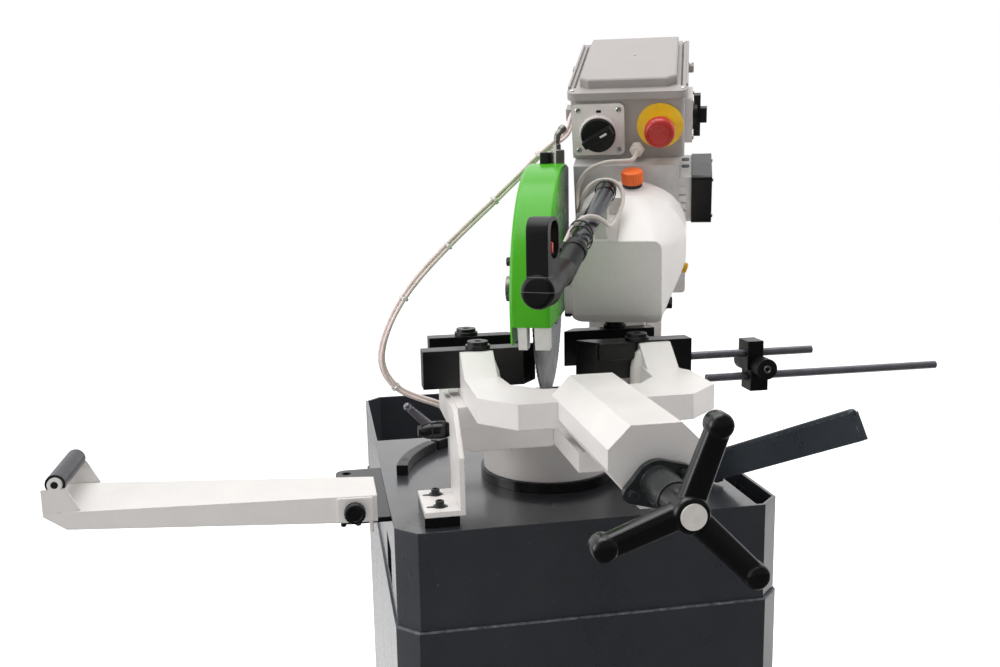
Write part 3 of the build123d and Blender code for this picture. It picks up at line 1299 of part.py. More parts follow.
def cord(name, points, radius):
    """Round cable along straight runs joined by tangent arcs, whose radii and length are printed."""
    stops = [Vector(*point) for point in points]
    radii = []
    for before, here, after in zip(stops, stops[1:], stops[2:]):
        run_in = here - before
        run_out = after - here
        half_turn = math.radians(run_in.get_angle(run_out)) / 2
        radii.append(0.45 * min(run_in.length, run_out.length) / math.tan(half_turn))
    path = FilletPolyline(*stops, radius=radii)
    print(name, "length", round(path.length), "radii", [round(value) for value in radii])
    section = Plane(origin=stops[0], z_dir=stops[1] - stops[0]) * Circle(radius)
    return sweep(section, path=path)


def handle_cable():
    """From the control box's gland, round the tube, to the collar of the handle's sleeve."""
    gland = Rot(TILT, 0, 0) * Pos(CABLE_GLAND_U, BOX_V[0] - CABLE_GLAND_L, CABLE_GLAND_W)
    first, last = HANDLE_CABLE_ENDS
    leave = Rot(TILT, 0, 0) * Pos(CABLE_GLAND_U, BOX_V[0] - CABLE_GLAND_L - first, CABLE_GLAND_W)
    end, line = cable_seat()
    before = end - line * last
    route = [gland.position, leave.position]
    route += [Vector(*point) for point in HANDLE_ROUTE]
    return LEVEL * cord("handle_cable", route + [before, end], HANDLE_CABLE_R)


def cable_bundle():
    """From the control box's left side behind the guard's crown down to the turret's gland."""
    u = BOX_U[0] - BUNDLE_SIDE
    start = (HEAD * Pos(u, BUNDLE_GLAND_V[0], BUNDLE_GLAND_W)).position
    leave = (HEAD * Pos(u, BUNDLE_GLAND_V[0] - BUNDLE_END, BUNDLE_GLAND_W)).position
    gland = TURRET * Pos(0, 0, GLAND_Z) * Rot(0, 0, GLAND_ANGLE)
    end = (gland * Pos(GLAND_REACH, 0, 0)).position
    before = (gland * Pos(GLAND_REACH + BUNDLE_END, 0, 0)).position
    route = [Vector(*point) for point in BUNDLE_ROUTE]
    return cord("cable_bundle", [start, leave] + route + [before, end], BUNDLE_R)


os.makedirs("parts", exist_ok=True)
save("stand_cabinet", stand_cabinet())
save("stand_pan", stand_pan())
save("turret_ring", turret_ring())
save("centre_post", centre_post())
save("turret_barrel", turret_barrel())
save("hinge_pin", hinge_pin())
save("vice_base", vice_base())
save("vice_slide", vice_slide())
for name, side in (("left", -1), ("right", 1)):
    fixed = jaw(side, FIXED_JAW_Y, FIXED_JAW_T, FIXED_JAW_REACH, FIXED_JAW_GAP, fixed_bolt_y())
    moving = jaw(side, MOVING_JAW_Y, MOVING_JAW_T, MOVING_JAW_REACH, MOVING_JAW_GAP, moving_bolt_y())
    save(f"fixed_jaw_{name}", fixed)
    save(f"moving_jaw_{name}", moving)
    save(f"fixed_jaw_bolt_{name}", jaw_bolt(side, fixed_bolt_y(), FIXED_BOLT_DEPTH))
    save(f"moving_jaw_bolt_{name}", jaw_bolt(side, moving_bolt_y(), MOVING_BOLT_DEPTH))
save("spindle_flange", spindle_flange())
save("handwheel", handwheel())
save("handwheel_cap", handwheel_cap())
save("vice_screw", vice_screw())
save("base_bracket", base_bracket())
save("bracket_spacer", bracket_spacer())
save("stop_arc", stop_arc())
save("vice_lock_lever", vice_lock_lever())
save("turret_lock_lever", turret_lock_lever())
save("stop_rod_upper", stop_rod_upper())
save("stop_rod_lower", stop_rod_lower())
save("stop_block", stop_block())
save("stop_knob_front", stop_knob(-1))
save("stop_knob_back", stop_knob(1))
save("support_bracket", support_bracket())
save("support_arm", support_arm())
save("support_roller", support_roller())
save("support_knob", support_knob())
save("blade", blade())
save("blade_spindle", blade_spindle())
save("blade_flange", blade_flange())
save("blade_guard", blade_guard())
save("guard_fork", guard_fork())
save("coolant_block", coolant_block())
save("coolant_tap", coolant_tap())
save("gearbox", gearbox())
save("motor", motor())
save("terminal_box", terminal_box())
save("box_bracket", box_bracket())
save("control_box", control_box())
save("control_lid", control_lid())
save("switch_plate", switch_plate())
save("selector_knob", selector_knob())
save("estop_disc", estop_disc())
save("estop_button", estop_button())
save("control_gland", control_gland())
save("isolator_base", isolator_base())
save("isolator_handle", isolator_handle())
save("oil_cap", oil_cap())
save("handle_tube", handle_tube())
save("handle_grip", handle_grip())
save("trigger", trigger())
save("handle_cable", handle_cable())
save("cable_bundle", cable_bundle())
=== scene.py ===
"""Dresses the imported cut-off saw: finishes on its solids, and its cables, ties, screws and fittings."""

import math

import bmesh
import bpy
import numpy as np
from mathutils import Matrix


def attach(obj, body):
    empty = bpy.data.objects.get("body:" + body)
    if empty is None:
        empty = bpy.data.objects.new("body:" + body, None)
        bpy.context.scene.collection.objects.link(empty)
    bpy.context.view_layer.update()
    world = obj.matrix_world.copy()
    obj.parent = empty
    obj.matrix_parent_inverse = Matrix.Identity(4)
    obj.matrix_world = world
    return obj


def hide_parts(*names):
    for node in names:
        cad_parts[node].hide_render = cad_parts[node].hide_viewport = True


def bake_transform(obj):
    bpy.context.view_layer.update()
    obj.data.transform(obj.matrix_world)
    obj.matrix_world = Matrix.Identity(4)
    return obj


bl_info = {
    "name": "Metal cut-off saw",
    "version": (1, 0, 0),
    "blender": (4, 5, 0),
    "location": "View3D > Sidebar > Saw",
    "description": "Finishes, cables and fittings of a pivoting circular saw on its stand",
    "category": "Object",
}

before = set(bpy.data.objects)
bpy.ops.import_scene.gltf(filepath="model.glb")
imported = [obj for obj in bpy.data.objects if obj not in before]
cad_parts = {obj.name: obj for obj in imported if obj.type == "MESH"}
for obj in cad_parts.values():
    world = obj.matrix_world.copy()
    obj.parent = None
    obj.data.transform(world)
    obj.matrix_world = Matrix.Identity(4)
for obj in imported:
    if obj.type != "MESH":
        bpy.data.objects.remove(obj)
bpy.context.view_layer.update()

MM = 0.001
RIGHT, REAR, UP = np.eye(3)
FRONT = -REAR
WELD = 1e-6
CREASE = math.radians(35.0)
ROUND_SIDES = 48
CORNERS = [(side, row) for side in (-1.0, 1.0) for row in (-1.0, 1.0)]

# Frames, as in the solids: the bench at the turret's axis, and the head at the blade's centre
TURRET = np.array((-15.0, -149.0, 800.0))
SWIVEL = math.radians(21.0)
TILT = math.radians(20.0)
ACROSS = np.array((math.cos(SWIVEL), -math.sin(SWIVEL), 0.0))
BACK = np.array((math.sin(SWIVEL), math.cos(SWIVEL), 0.0))
BLADE = TURRET + 19.0 * BACK + 240.0 * UP
HEAD_BACK = math.cos(TILT) * BACK + math.sin(TILT) * UP
HEAD_UP = math.cos(TILT) * UP - math.sin(TILT) * BACK
HEAD_FACE = (ACROSS, HEAD_UP, HEAD_BACK)
HEAD_TOP = (ACROSS, HEAD_BACK, HEAD_UP)

# Camera of the photograph, in millimetres and degrees
EYE = np.array((-300.3, -1381.5, 1210.2))
YAW = math.radians(10.31)
PITCH = math.radians(10.06)
ROLL = math.radians(-1.04)
LENS = 36.0
SENSOR = 36.0

# Lamps: name, place, side in metres, power in watts, and whether reflections show it
LAMPS = (
    ("top_light", (-0.3, -0.3, 3.2), 2.4, 47.0, True),
    ("back_light", (0.0, 1.2, 3.0), 2.0, 5.0, True),
    ("left_light", (-3.0, -0.4, 1.5), 2.0, 36.0, True),
    ("right_light", (2.6, -0.2, 1.6), 1.8, 32.0, False),
)
LAMP_AIM = np.array((0.0, -0.15, 1.0))
ROOM_LIGHT = 0.34
DIM_TOWARD = (0.45, -0.89, 0.0)
DIM_SHARE = 0.14
FLOOR_HALF = 8.0

# Sizes of patterns in millimetres: chips on worn edges, dust on the stand, rings and smears on the blade
CHIP = 6.0
DUST = 4.0
BLADE_RING = 1.6
BLADE_SMEAR = 24.0

# Painted shade on the hood's right side: half the hood's width, and where the shade starts and is full,
# measured back from the blade's centre
HOOD_HALF = 22.0
SHADE_START = -95.0
SHADE_FULL = -5.0

# Control points of the cables, in millimetres: the handle's in the level head frame, and the bundle's in
# the shared frame, moved a little from its solid to follow the photograph
HANDLE_ROUTE = (
    (108.6, 67.1, 172.3), (108.6, 52.1, 166.8), (103, 38, 161), (88, 31, 161), (69, 31, 160),
    (50, 32, 152), (38, 32, 138), (34, 31, 121), (36, 24, 105), (39, 9, 98), (42, -6, 104),
    (46, -12, 119), (54, -7, 132), (67, -3, 139), (83, -3, 138), (95, -7, 128), (97, -18, 112),
    (93, -35, 98), (88, -54, 89), (84, -74, 86), (83, -88, 88), (80, -101, 93), (71, -113, 100),
    (59, -122, 100), (47, -131, 91), (41.1, -141.5, 76.1), (38.9, -154.2, 70.6),
)
BUNDLE_ROUTE = (
    (60.3, 8.0, 1264.4), (52.9, -11.3, 1256.9), (42, -41, 1242), (30, -61, 1233), (18, -70, 1227),
    (4, -71, 1219), (-11, -69, 1206), (-28, -69, 1188), (-48, -71, 1170), (-70, -74, 1150),
    (-100, -75, 1124), (-133, -73, 1093), (-168, -70, 1057), (-195, -66, 1021), (-213, -62, 985),
    (-222, -58, 954), (-221, -55, 932), (-211, -50, 911), (-195, -46, 895), (-172, -43, 884),
    (-146, -39, 874), (-122, -32, 860), (-95.6, -49.5, 845), (-81.7, -66.6, 845),
)
BUNDLE_HINT = np.array((0.97, 0.0, 0.22))
BUNDLE_TURNS = 0.45
BUNDLE_TIES = (0.188, 0.312, 0.437, 0.575, 0.778)

# Handle tube in the level head frame, the grip's own directions, and the ties on the tube: share of its
# length, drift and radii
TUBE_TOP = np.array((77.5, -12.0, 128.2))
TUBE_END = np.array((43.0, -207.0, 43.0))
GRIP_RUN = (TUBE_END - TUBE_TOP)[:2] / np.linalg.norm((TUBE_END - TUBE_TOP)[:2])
GRIP_OUT = GRIP_RUN[0] * ACROSS + GRIP_RUN[1] * BACK
GRIP_SIDE = GRIP_RUN[0] * BACK - GRIP_RUN[1] * ACROSS
HANDLE_TIES = (
    (0.06, (0.0, 1.5), (12.0, 13.5)),
    (0.60, (-1.0, 4.0), (13.5, 16.5)),
    (0.64, (1.0, 3.0), (13.0, 15.5)),
)

# Heights of the moulding lines round the grip, and where its ball end starts past the tube
PARTING_LINES = (1075.0, 1090.0)
BALL_REACH = 66.0

# Places in the tilted head frame, in millimetres
SWITCH = (58.5, 136.0, 160.0)
STOP_SEAT = (138.5, 138.0, 168.0)
FILLER = (104.6, 86.0, 106.3)
FAN = (100.0, 342.0, 32.0)
CASING_BOLT = (5.0, -21.0)
LID_MIDDLE = (96.0, 267.0)
LID_SCREWS = ((24, 150), (167.5, 150), (19, 262), (176.5, 262), (27, 384), (167.5, 382))

# Seam between the stand's cabinet and pan: width, depth, cut corner and height
SEAM = (462.0, 662.0, 24.5, 681.8)

# Pieces of the bench frame, in millimetres and degrees
ARC_RADII = (184.0, 199.0)
ARC_TOP = 14.0
ARC_SCREW = math.radians(163.0)
LEVER_HEADING = math.radians(-62.8)
LEVER_RISE = math.radians(25.5)
LOCK_ROW = -76.0
BRACKET_SCREWS = (-154.0, -112.0)
WHEEL_FRONT = -512.3
WHEEL_BACK = -474.3
WHEEL_HEIGHT = 124.0
WHEEL_REACH = 77.0
WHEEL_TURN = 74.8

# Pieces of the shared frame, in millimetres, and the work support's slope seen from above
SUPPORT_KNOB = np.array((-272, -277.8, 813))
SUPPORT_PLATE = np.array((-271, -277.6, 815.3))
SUPPORT_TAB = np.array((-253.3, -275.5, 796))
SUPPORT_STUDS = ((-285, -262, 799.6), (-268, -262, 799.6))
SUPPORT_SLANT = 0.067
STOP_KNOB = np.array((243.5, -245.3, 943))


def bench(x, y, z):
    """Point in metres from the bench frame's millimetres."""
    return MM * (TURRET + np.array((x, y, z)))


def level(u, s, z):
    """Point in metres from the level head frame: across, back and up from the blade's centre."""
    return MM * (BLADE + u * ACROSS + s * BACK + z * UP)


def head(u, v, w):
    """Point in metres from the tilted head frame."""
    return MM * (BLADE + u * ACROSS + v * HEAD_BACK + w * HEAD_UP)


def linear(code):
    """Linear colour of an sRGB hex code."""
    parts = [int(code[i:i + 2], 16) / 255 for i in (1, 3, 5)]
    return [c / 12.92 if c <= 0.04045 else ((c + 0.055) / 1.055) ** 2.4 for c in parts] + [1.0]


def paint(name, code):
    """Colour setting of one finish."""
    return bpy.props.FloatVectorProperty(
        name=name, description=f"Colour of the {name.lower()}", subtype="COLOR", size=4,
        min=0.0, max=1.0, default=linear(code),
    )


def length(name, words, metres):
    """Length setting of one piece."""
    return bpy.props.FloatProperty(name=name, description=words, default=metres, unit="LENGTH", min=0.0)


class SawColours(bpy.types.PropertyGroup):
    """Colours of the finishes."""

    stand: paint("Stand enamel", "#33353a")
    casting: paint("Casting enamel", "#ebe7e4")
    guard: paint("Guard enamel", "#4db024")
    guard_side_shade: paint("Painted shade on guard side", "#22303a")
    enclosure: paint("Enclosure paint", "#a6a09d")
    switch: paint("Switch plates", "#e6dedb")
    oxide: paint("Black oxide", "#0a0a0b")
    steel: paint("Bright steel", "#c6c7c6")
    blade: paint("Blade steel", "#787b83")
    tube: paint("Handle tube", "#5b5d60")
    motor: paint("Motor paint", "#efece8")
    bracket: paint("Bracket plate", "#cdcdcc")
    black_plastic: paint("Black plastic", "#0a0a0b")
    black_gloss: paint("Black resin", "#111011")
    pale_plastic: paint("Hub cap", "#e9e4de")
    white_plastic: paint("White plastic", "#e4e3df")
    stop_yellow: paint("Stop plate", "#ffd02c")
    stop_red: paint("Stop button", "#b62d28")
    cap_orange: paint("Filler cap", "#ff7430")
    cable: paint("Cable sheath", "#f4e3df")
    handle_cable: paint("Handle cable", "#c6bfb6")
    roller: paint("Roller steel", "#3f3d44")
    lever: paint("Lever enamel", "#222a32")
    fitting: paint("Coolant fitting", "#7d7b76")
    seam: paint("Painted highlight on seam", "#5c6067")
    rod: paint("Rod steel", "#85838a")
    grease: paint("Greased steel", "#3a3d3e")
    glass: paint("Level glass", "#d9a520")
    floor: paint("Floor", "#f4f4f4")


class SawSizes(bpy.types.PropertyGroup):
    """Sizes of the pieces that the solids don't have."""

    handle_cable: length("Handle cable", "Diameter of the cable to the handle", 0.0056)
    bundle: length("Cable bundle", "Diameter round the cables to the stand", 0.0108)
    strand: length("Cable", "Diameter of each cable in the bundle", 0.0050)
    strands: bpy.props.IntProperty(name="Cables", description="Cables in the bundle", default=3, min=1)
    tie_width: length("Tie width", "Width of a cable tie's band", 0.0032)
    tie_thickness: length("Tie thickness", "Thickness of a cable tie's band", 0.0012)
    plate_screw: length("Plate screw", "Head radius of the switch plates' screws", 0.0034)
    lid_screw: length("Lid screw", "Head radius of the lid's screws", 0.0030)
    cap_screw: length("Cap screw", "Head radius of the bracket's cap screws", 0.0050)


def axes_along(axis, hint=UP):
    """Three unit vectors: two across an axis, the first as near the hint as may be, and the axis."""
    line = np.asarray(axis, float) / np.linalg.norm(axis)
    first = np.asarray(hint, float) - line * np.dot(hint, line)
    first = first / np.linalg.norm(first)
    return first, np.cross(line, first), line


def grid_faces(rows, columns, around, along):
    """Corner numbers of each cell of a grid, closed round its columns and along its rows where asked."""
    index = np.arange(rows * columns).reshape(rows, columns)
    if around:
        index = np.concatenate((index, index[:, :1]), axis=1)
    if along:
        index = np.concatenate((index, index[:1]), axis=0)
    corners = (index[:-1, :-1], index[:-1, 1:], index[1:, 1:], index[1:, :-1])
    return np.stack(corners, axis=-1).reshape(-1, 4)


def piece(name, grids, material, around=True, along=False):
    """One object from grids of points: each cell is a face, and points that meet are merged."""
    points = [grid.reshape(-1, 3) for grid in grids]
    starts = np.cumsum([0] + [len(part) for part in points])
    faces = [grid_faces(*grid.shape[:2], around, along) + start for grid, start in zip(grids, starts)]
    mesh = bpy.data.meshes.new(name)
    mesh.from_pydata(np.concatenate(points).tolist(), [], np.concatenate(faces).tolist())
    work = bmesh.new()
    work.from_mesh(mesh)
    bmesh.ops.remove_doubles(work, verts=work.verts, dist=WELD)
    bmesh.ops.dissolve_degenerate(work, edges=work.edges, dist=WELD)
    bmesh.ops.recalc_face_normals(work, faces=work.faces)
    work.to_mesh(mesh)
    work.free()
    mesh.shade_smooth()
    mesh.set_sharp_from_angle(angle=CREASE)
    mesh.materials.append(material)
    made = bpy.data.objects.new(name, mesh)
    bpy.context.scene.collection.objects.link(made)
    return made


def circle(sides):
    """Angles at equal steps round a full turn."""
    return np.linspace(0, 2 * math.pi, sides, endpoint=False)


def squared(wave, power):
    """Signed power of a sine or a cosine: a small power squares its curve off."""
    return np.sign(wave) * abs(wave) ** power


def along_axes(parts, axes):
    """Points from arrays of distances along unit vectors."""
    return sum(part[..., None] * axis for part, axis in zip(parts, axes))


def turned(rows, centre, axis, hint=UP, sides=ROUND_SIDES, flutes=0):
    """Profile turned about an axis: each row has a radius and a height in millimetres.

    A third number goes from 0, a circle, to 1, a hexagon whose flats lie at the radius. Where there are
    flutes round the profile, it is their depth.
    """
    table = np.array([tuple(row) + (0.0,) * (3 - len(row)) for row in rows])
    radius, height, third = table.T[:, :, None]
    angle = circle(sides)
    hexagon = 1 / np.cos((angle + math.pi / 6) % (math.pi / 3) - math.pi / 6)
    if flutes:
        reach = radius - third * (0.5 - 0.5 * np.cos(flutes * angle))
    else:
        reach = radius * (1 - third + third * hexagon)
    parts = (reach * np.cos(angle), reach * np.sin(angle), height + 0 * angle)
    return centre + MM * along_axes(parts, axes_along(axis, hint))


def screw_head(centre, axis, radius, hint=UP):
    """Pan head as a polar grid: a low dome whose height drops by a cross-shaped recess in the middle."""
    share = np.concatenate(((0.0, 1.0, 1.0), np.linspace(1.0, 0.0, 16)))[:, None]
    angle = circle(ROUND_SIDES)
    x = share * np.cos(angle)
    y = share * np.sin(angle)
    dome = 0.62 - 0.30 * share ** 3 + 0 * angle
    arm_a = np.clip((0.17 - abs(x)) / 0.08, 0, 1) * np.clip((0.62 - abs(y)) / 0.12, 0, 1)
    arm_b = np.clip((0.17 - abs(y)) / 0.08, 0, 1) * np.clip((0.62 - abs(x)) / 0.12, 0, 1)
    rise = dome - 0.42 * np.maximum(arm_a, arm_b)
    rise[:2] = -0.1
    return centre + radius * along_axes((x, y, rise), axes_along(axis, hint))


def cap_screw(centre, axis, radius, height, hint=UP):
    """Cap screw's profile in millimetres: round head with a hexagon socket sunk in its top."""
    socket = 0.52 * radius
    rows = [(0, -0.4), (radius, -0.4), (radius, height - 0.5), (radius - 0.5, height)]
    rows += [(socket + 0.4, height, 0.5), (socket, height - 0.3, 1), (socket, 0.45 * height, 1)]
    return turned(rows + [(0, 0.4 * height)], centre, axis, hint)


def hex_bolt(centre, axis, flat, height, hint=UP):
    """Hexagon head's profile in millimetres: a washer face, six flats and a chamfered top."""
    rows = [(0, -0.4), (flat * 1.25, -0.4), (flat * 1.25, 1.0), (flat, 1.0, 1), (flat, height - 0.8, 1)]
    return turned(rows + [(flat * 0.92, height, 0.2), (0, height)], centre, axis, hint)


def rounded_block(centre, axes, halves, power=0.22):
    """Superellipsoid: signed powers of sines and cosines of two angles square off a ball into a block."""
    around = circle(40)
    along = np.linspace(-math.pi / 2, math.pi / 2, 21)[:, None]
    wave = [np.cos(along) + 0 * around, np.sin(along) + 0 * around, np.cos(around), np.sin(around)]
    out, rise, x, y = [squared(part, power) for part in wave]
    a, b, c = [half * MM for half in halves]
    return centre + along_axes((a * out * x, b * out * y, c * rise), axes)


def bar(root, tip, hint, wide, deep, power=0.5):
    """Squared oval carried from root to tip, with half widths and half depths in millimetres at both.

    The depth lies as near the hint as may be, and the tip closes with a quarter round.
    """
    share = np.concatenate(((0.0,), np.linspace(0.0, 1.0, 24), np.ones(8)))
    turn = np.concatenate((np.zeros(25), np.linspace(0.0, math.pi / 2, 9)[1:]))
    size = np.cos(turn)
    size[0] = 0.0
    along = share * np.linalg.norm(tip - root) + MM * wide[1] * np.sin(turn)
    half_wide = MM * size * np.interp(share, (0.0, 1.0), wide)
    half_deep = MM * size * np.interp(share, (0.0, 1.0), deep)
    angle = circle(40)
    x = half_deep[:, None] * squared(np.cos(angle), power)
    y = half_wide[:, None] * squared(np.sin(angle), power)
    return root + along_axes((x, y, along[:, None] + 0 * angle), axes_along(tip - root, hint))


def ring_part(start, end):
    """Squared oval carried round the turret's axis between two angles in degrees, closed at both ends."""
    share = np.concatenate(((0.0,), np.linspace(0.0, 1.0, 40), (1.0,)))
    size = np.ones((42, 1))
    size[[0, -1]] = 0.0
    turn = np.radians(start + share * (end - start))[:, None]
    angle = circle(ROUND_SIDES)
    inner, outer = ARC_RADII
    radius = (outer + inner) / 2 + size * squared(np.cos(angle), 0.14) * (outer - inner) / 2
    height = ARC_TOP / 2 + size * squared(np.sin(angle), 0.14) * ARC_TOP / 2
    return MM * (TURRET + along_axes((radius * np.cos(turn), radius * np.sin(turn), height), np.eye(3)))


def smooth_line(name, points):
    """Curve object of one NURBS spline with these control points."""
    line = bpy.data.curves.new(name, "CURVE")
    line.dimensions = "3D"
    line.resolution_u = 12
    spline = line.splines.new("NURBS")
    spline.points.add(len(points) - 1)
    spline.points.foreach_set("co", np.column_stack((points, np.ones(len(points)))).ravel())
    spline.order_u = 3
    spline.use_endpoint_u = True
    made = bpy.data.objects.new(name, line)
    bpy.context.scene.collection.objects.link(made)
    return made


def line_points(points):
    """Points along the smooth line of these control points, read from a curve with no bevel."""
    guide = smooth_line("route_guide", points)
    bpy.context.view_layer.update()
    mesh = bpy.data.meshes.new_from_object(guide)
    found = np.zeros(len(mesh.vertices) * 3)
    mesh.vertices.foreach_get("co", found)
    bpy.data.objects.remove(guide)
    bpy.data.meshes.remove(mesh)
    return found.reshape(-1, 3)


def line_frames(path, hint):
    """Share of the length and two unit vectors across a path at each of its points."""
    step = np.gradient(path, axis=0)
    line = step / np.linalg.norm(step, axis=1)[:, None]
    runs = np.linalg.norm(np.diff(path, axis=0), axis=1)
    share = np.concatenate(((0.0,), np.cumsum(runs))) / runs.sum()
    first = np.cross(line, hint)
    first = first / np.linalg.norm(first, axis=1)[:, None]
    return share, first, np.cross(line, first)


def tube_along(path, first, second, radius, sides=14):
    """Circle carried along a path, with both ends drawn in to a point."""
    angle = circle(sides)[:, None]
    ring = np.cos(angle) * first[:, None] + np.sin(angle) * second[:, None]
    size = np.full(len(path), radius)
    size[[0, -1]] = 0.0
    return path[:, None] + size[:, None, None] * ring


def band(centre, axis, radii, width, thickness, hint=UP):
    """Tie band: a thin rectangle carried round an oval about an axis, closed both ways."""
    first, second, line = axes_along(axis, hint)
    angle = circle(ROUND_SIDES)[:, None, None]
    out = np.cos(angle) * first * radii[0] + np.sin(angle) * second * radii[1]
    grow = np.array((0.0, 0.0, thickness, thickness))[:, None]
    side = width * np.array((-0.5, 0.5, 0.5, -0.5))[:, None]
    unit = out / np.linalg.norm(out, axis=-1, keepdims=True)
    return centre + out + grow * unit + side * line


def join_sockets(tree, made, sockets):
    """Sets or links each named socket of a node."""
    for name, value in sockets.items():
        if isinstance(value, bpy.types.NodeSocket):
            tree.links.new(value, made.inputs[name])
        else:
            made.inputs[name].default_value = value


def node(tree, kind, sockets=None, **settings):
    """One shader node of a kind with its settings, its socket values and its links."""
    made = tree.nodes.new("ShaderNode" + kind)
    for name, value in settings.items():
        setattr(made, name, value)
    join_sockets(tree, made, sockets or {})
    return made


def begin(name):
    """Empty material with its shader, and the object's own coordinates."""
    material = bpy.data.materials.new(name)
    material.use_nodes = True
    tree = material.node_tree
    tree.nodes.clear()
    shader = node(tree, "BsdfPrincipled")
    node(tree, "OutputMaterial", {"Surface": shader.outputs["BSDF"]})
    return material, tree, shader, node(tree, "TexCoord").outputs["Object"]


def edge_share(tree, rounded):
    """How far the rounded normal turns from the face: 0 on a flat and 1 on a sharp edge."""
    face = node(tree, "NewGeometry").outputs["Normal"]
    turn = node(tree, "VectorMath", {0: rounded, 1: face}, operation="DOT_PRODUCT")
    ends = {"Value": turn.outputs["Value"], "From Min": 0.985, "From Max": 0.86}
    return node(tree, "MapRange", ends).outputs["Result"]


def shaded(colour, factor):
    """The same colour, lighter or darker."""
    return [min(1.0, part * factor) for part in colour[:3]] + [1.0]


def coat(name, colour, patch, grain, depth, roughness, edge, wear_and_highlight=None, wear=0.5, spread=0.07, **sockets):
    """Skin of paint, plastic or metal, with its sizes in millimetres.

    Soft patches shift the colour by the spread and the gloss with it, a fine grain lifts the surface,
    and sharp edges are rounded to the edge radius. A worn colour shows in places on those edges; on some
    dark finishes it is paler than wear alone, a painted highlight along the edges too.
    """
    material, tree, shader, place = begin(name)
    patches = node(tree, "TexNoise", {"Vector": place, "Scale": 1 / (patch * MM), "Detail": 4.0})
    middle = {"Value": patches.outputs["Fac"], "From Min": 0.3, "From Max": 0.7}
    share = node(tree, "MapRange", middle).outputs["Result"]
    tones = {0: share, 6: shaded(colour, 1 - spread), 7: shaded(colour, 1 + spread)}
    base = node(tree, "Mix", tones, data_type="RGBA").outputs[2]
    rounded = node(tree, "Bevel", {"Radius": edge * MM}, samples=4).outputs["Normal"]
    if wear_and_highlight is not None:
        chips = node(tree, "TexNoise", {"Vector": place, "Scale": 1 / (CHIP * MM), "Detail": 5.0})
        broken = {"Value": chips.outputs["Fac"], "From Min": 0.5, "From Max": 0.68, "To Max": wear}
        patchy = node(tree, "MapRange", broken).outputs["Result"]
        both = {0: edge_share(tree, rounded), 1: patchy}
        on_edge = node(tree, "Math", both, operation="MULTIPLY").outputs["Value"]
        edge_wear_and_highlight = {0: on_edge, 6: base, 7: wear_and_highlight}
        base = node(tree, "Mix", edge_wear_and_highlight, data_type="RGBA").outputs[2]
    gloss = {"Value": share, "To Min": roughness * 0.85, "To Max": roughness * 1.2}
    fine = node(tree, "TexNoise", {"Vector": place, "Scale": 1 / (grain * MM), "Detail": 2.0})
    lift = {"Height": fine.outputs["Fac"], "Strength": 1.0, "Distance": depth * MM, "Normal": rounded}
    sockets["Base Color"] = base
    sockets["Roughness"] = node(tree, "MapRange", gloss).outputs["Result"]
    sockets["Normal"] = node(tree, "Bump", lift).outputs["Normal"]
    if "Coat Weight" in sockets:
        sockets["Coat Normal"] = sockets["Normal"]
    join_sockets(tree, shader, sockets)
    return material


def repaint(material, share, colour):
    """Lays another colour over a material's own by a share."""
    tree = material.node_tree
    shader = tree.nodes["Principled BSDF"]
    layers = {0: share, 6: shader.inputs["Base Color"].links[0].from_socket, 7: list(colour)}
    both = node(tree, "Mix", layers, data_type="RGBA").outputs[2]
    join_sockets(tree, shader, {"Base Color": both})


def reach_share(material, axis, low, high):
    """Share that goes from 0 to 1 between two places along an axis, in millimetres."""
    tree = material.node_tree
    along = {0: tree.nodes["Texture Coordinate"].outputs["Object"], 1: tuple(axis)}
    reach = node(tree, "VectorMath", along, operation="DOT_PRODUCT").outputs["Value"]
    ends = {"Value": reach, "From Min": MM * low, "From Max": MM * high}
    return node(tree, "MapRange", ends).outputs["Result"]


def stand_enamel(colours):
    """Stoved enamel on folded sheet steel: dark and glossy over an orange peel, with pale dust specks."""
    material = coat(
        "stoved_enamel_dark", colours.stand, 60, 3, 0.10, 0.30, 1.5,
        linear("#6a6e74"), 0.5, **{"Coat Weight": 0.8, "Coat Roughness": 0.12},
    )
    tree = material.node_tree
    place = tree.nodes["Texture Coordinate"].outputs["Object"]
    dust = node(tree, "TexNoise", {"Vector": place, "Scale": 1 / (DUST * MM), "Detail": 1.0})
    few = {"Value": dust.outputs["Fac"], "From Min": 0.76, "From Max": 0.80, "To Max": 0.3}
    repaint(material, node(tree, "MapRange", few).outputs["Result"], linear("#8d9095"))
    return material


def seam_painted_highlight(colours):
    """Pale grey bead along the stand's seam, a painted highlight where the fold catches the light: a broken
    pale line under the pan.
    """
    return coat("seam_painted_highlight_grey", colours.seam, 9, 3, 0.1, 0.45, 0.8, spread=0.6)


def casting_enamel(colours):
    """Cream-white enamel over sand-cast iron: lumpy under the gloss, chipped grey on a few edges."""
    return coat(
        "enamel_on_cast_iron", colours.casting, 45, 5, 0.35, 0.33, 2.2,
        linear("#9a958c"), 0.55, spread=0.025,
    )


def guard_enamel(colours):
    """Bright green powder coat, darkened toward the back of the hood's right side by painted shade."""
    material = coat(
        "powder_coat_green", colours.guard, 40, 1.6, 0.06, 0.24, 1.0, spread=0.04,
        **{"Specular IOR Level": 0.3},
    )
    tree = material.node_tree
    right = float(np.dot(BLADE, ACROSS)) + HOOD_HALF
    rear = float(np.dot(BLADE, BACK))
    on_side = reach_share(material, ACROSS, right, right + 1.5)
    toward_back = reach_share(material, BACK, rear + SHADE_START, rear + SHADE_FULL)
    both = node(tree, "Math", {0: on_side, 1: toward_back}, operation="MULTIPLY")
    repaint(material, both.outputs["Value"], colours.guard_side_shade)
    return material


def enclosure_paint(colours):
    """Warm grey paint on a cast aluminium case: satin with a slight grain."""
    return coat("satin_paint_warm_grey", colours.enclosure, 50, 1.4, 0.07, 0.42, 2.0)


def switch_plastic(colours):
    """Light grey moulded plastic: even colour, fine eroded texture."""
    return coat("moulded_plastic_light_grey", colours.switch, 30, 0.9, 0.04, 0.42, 1.0)


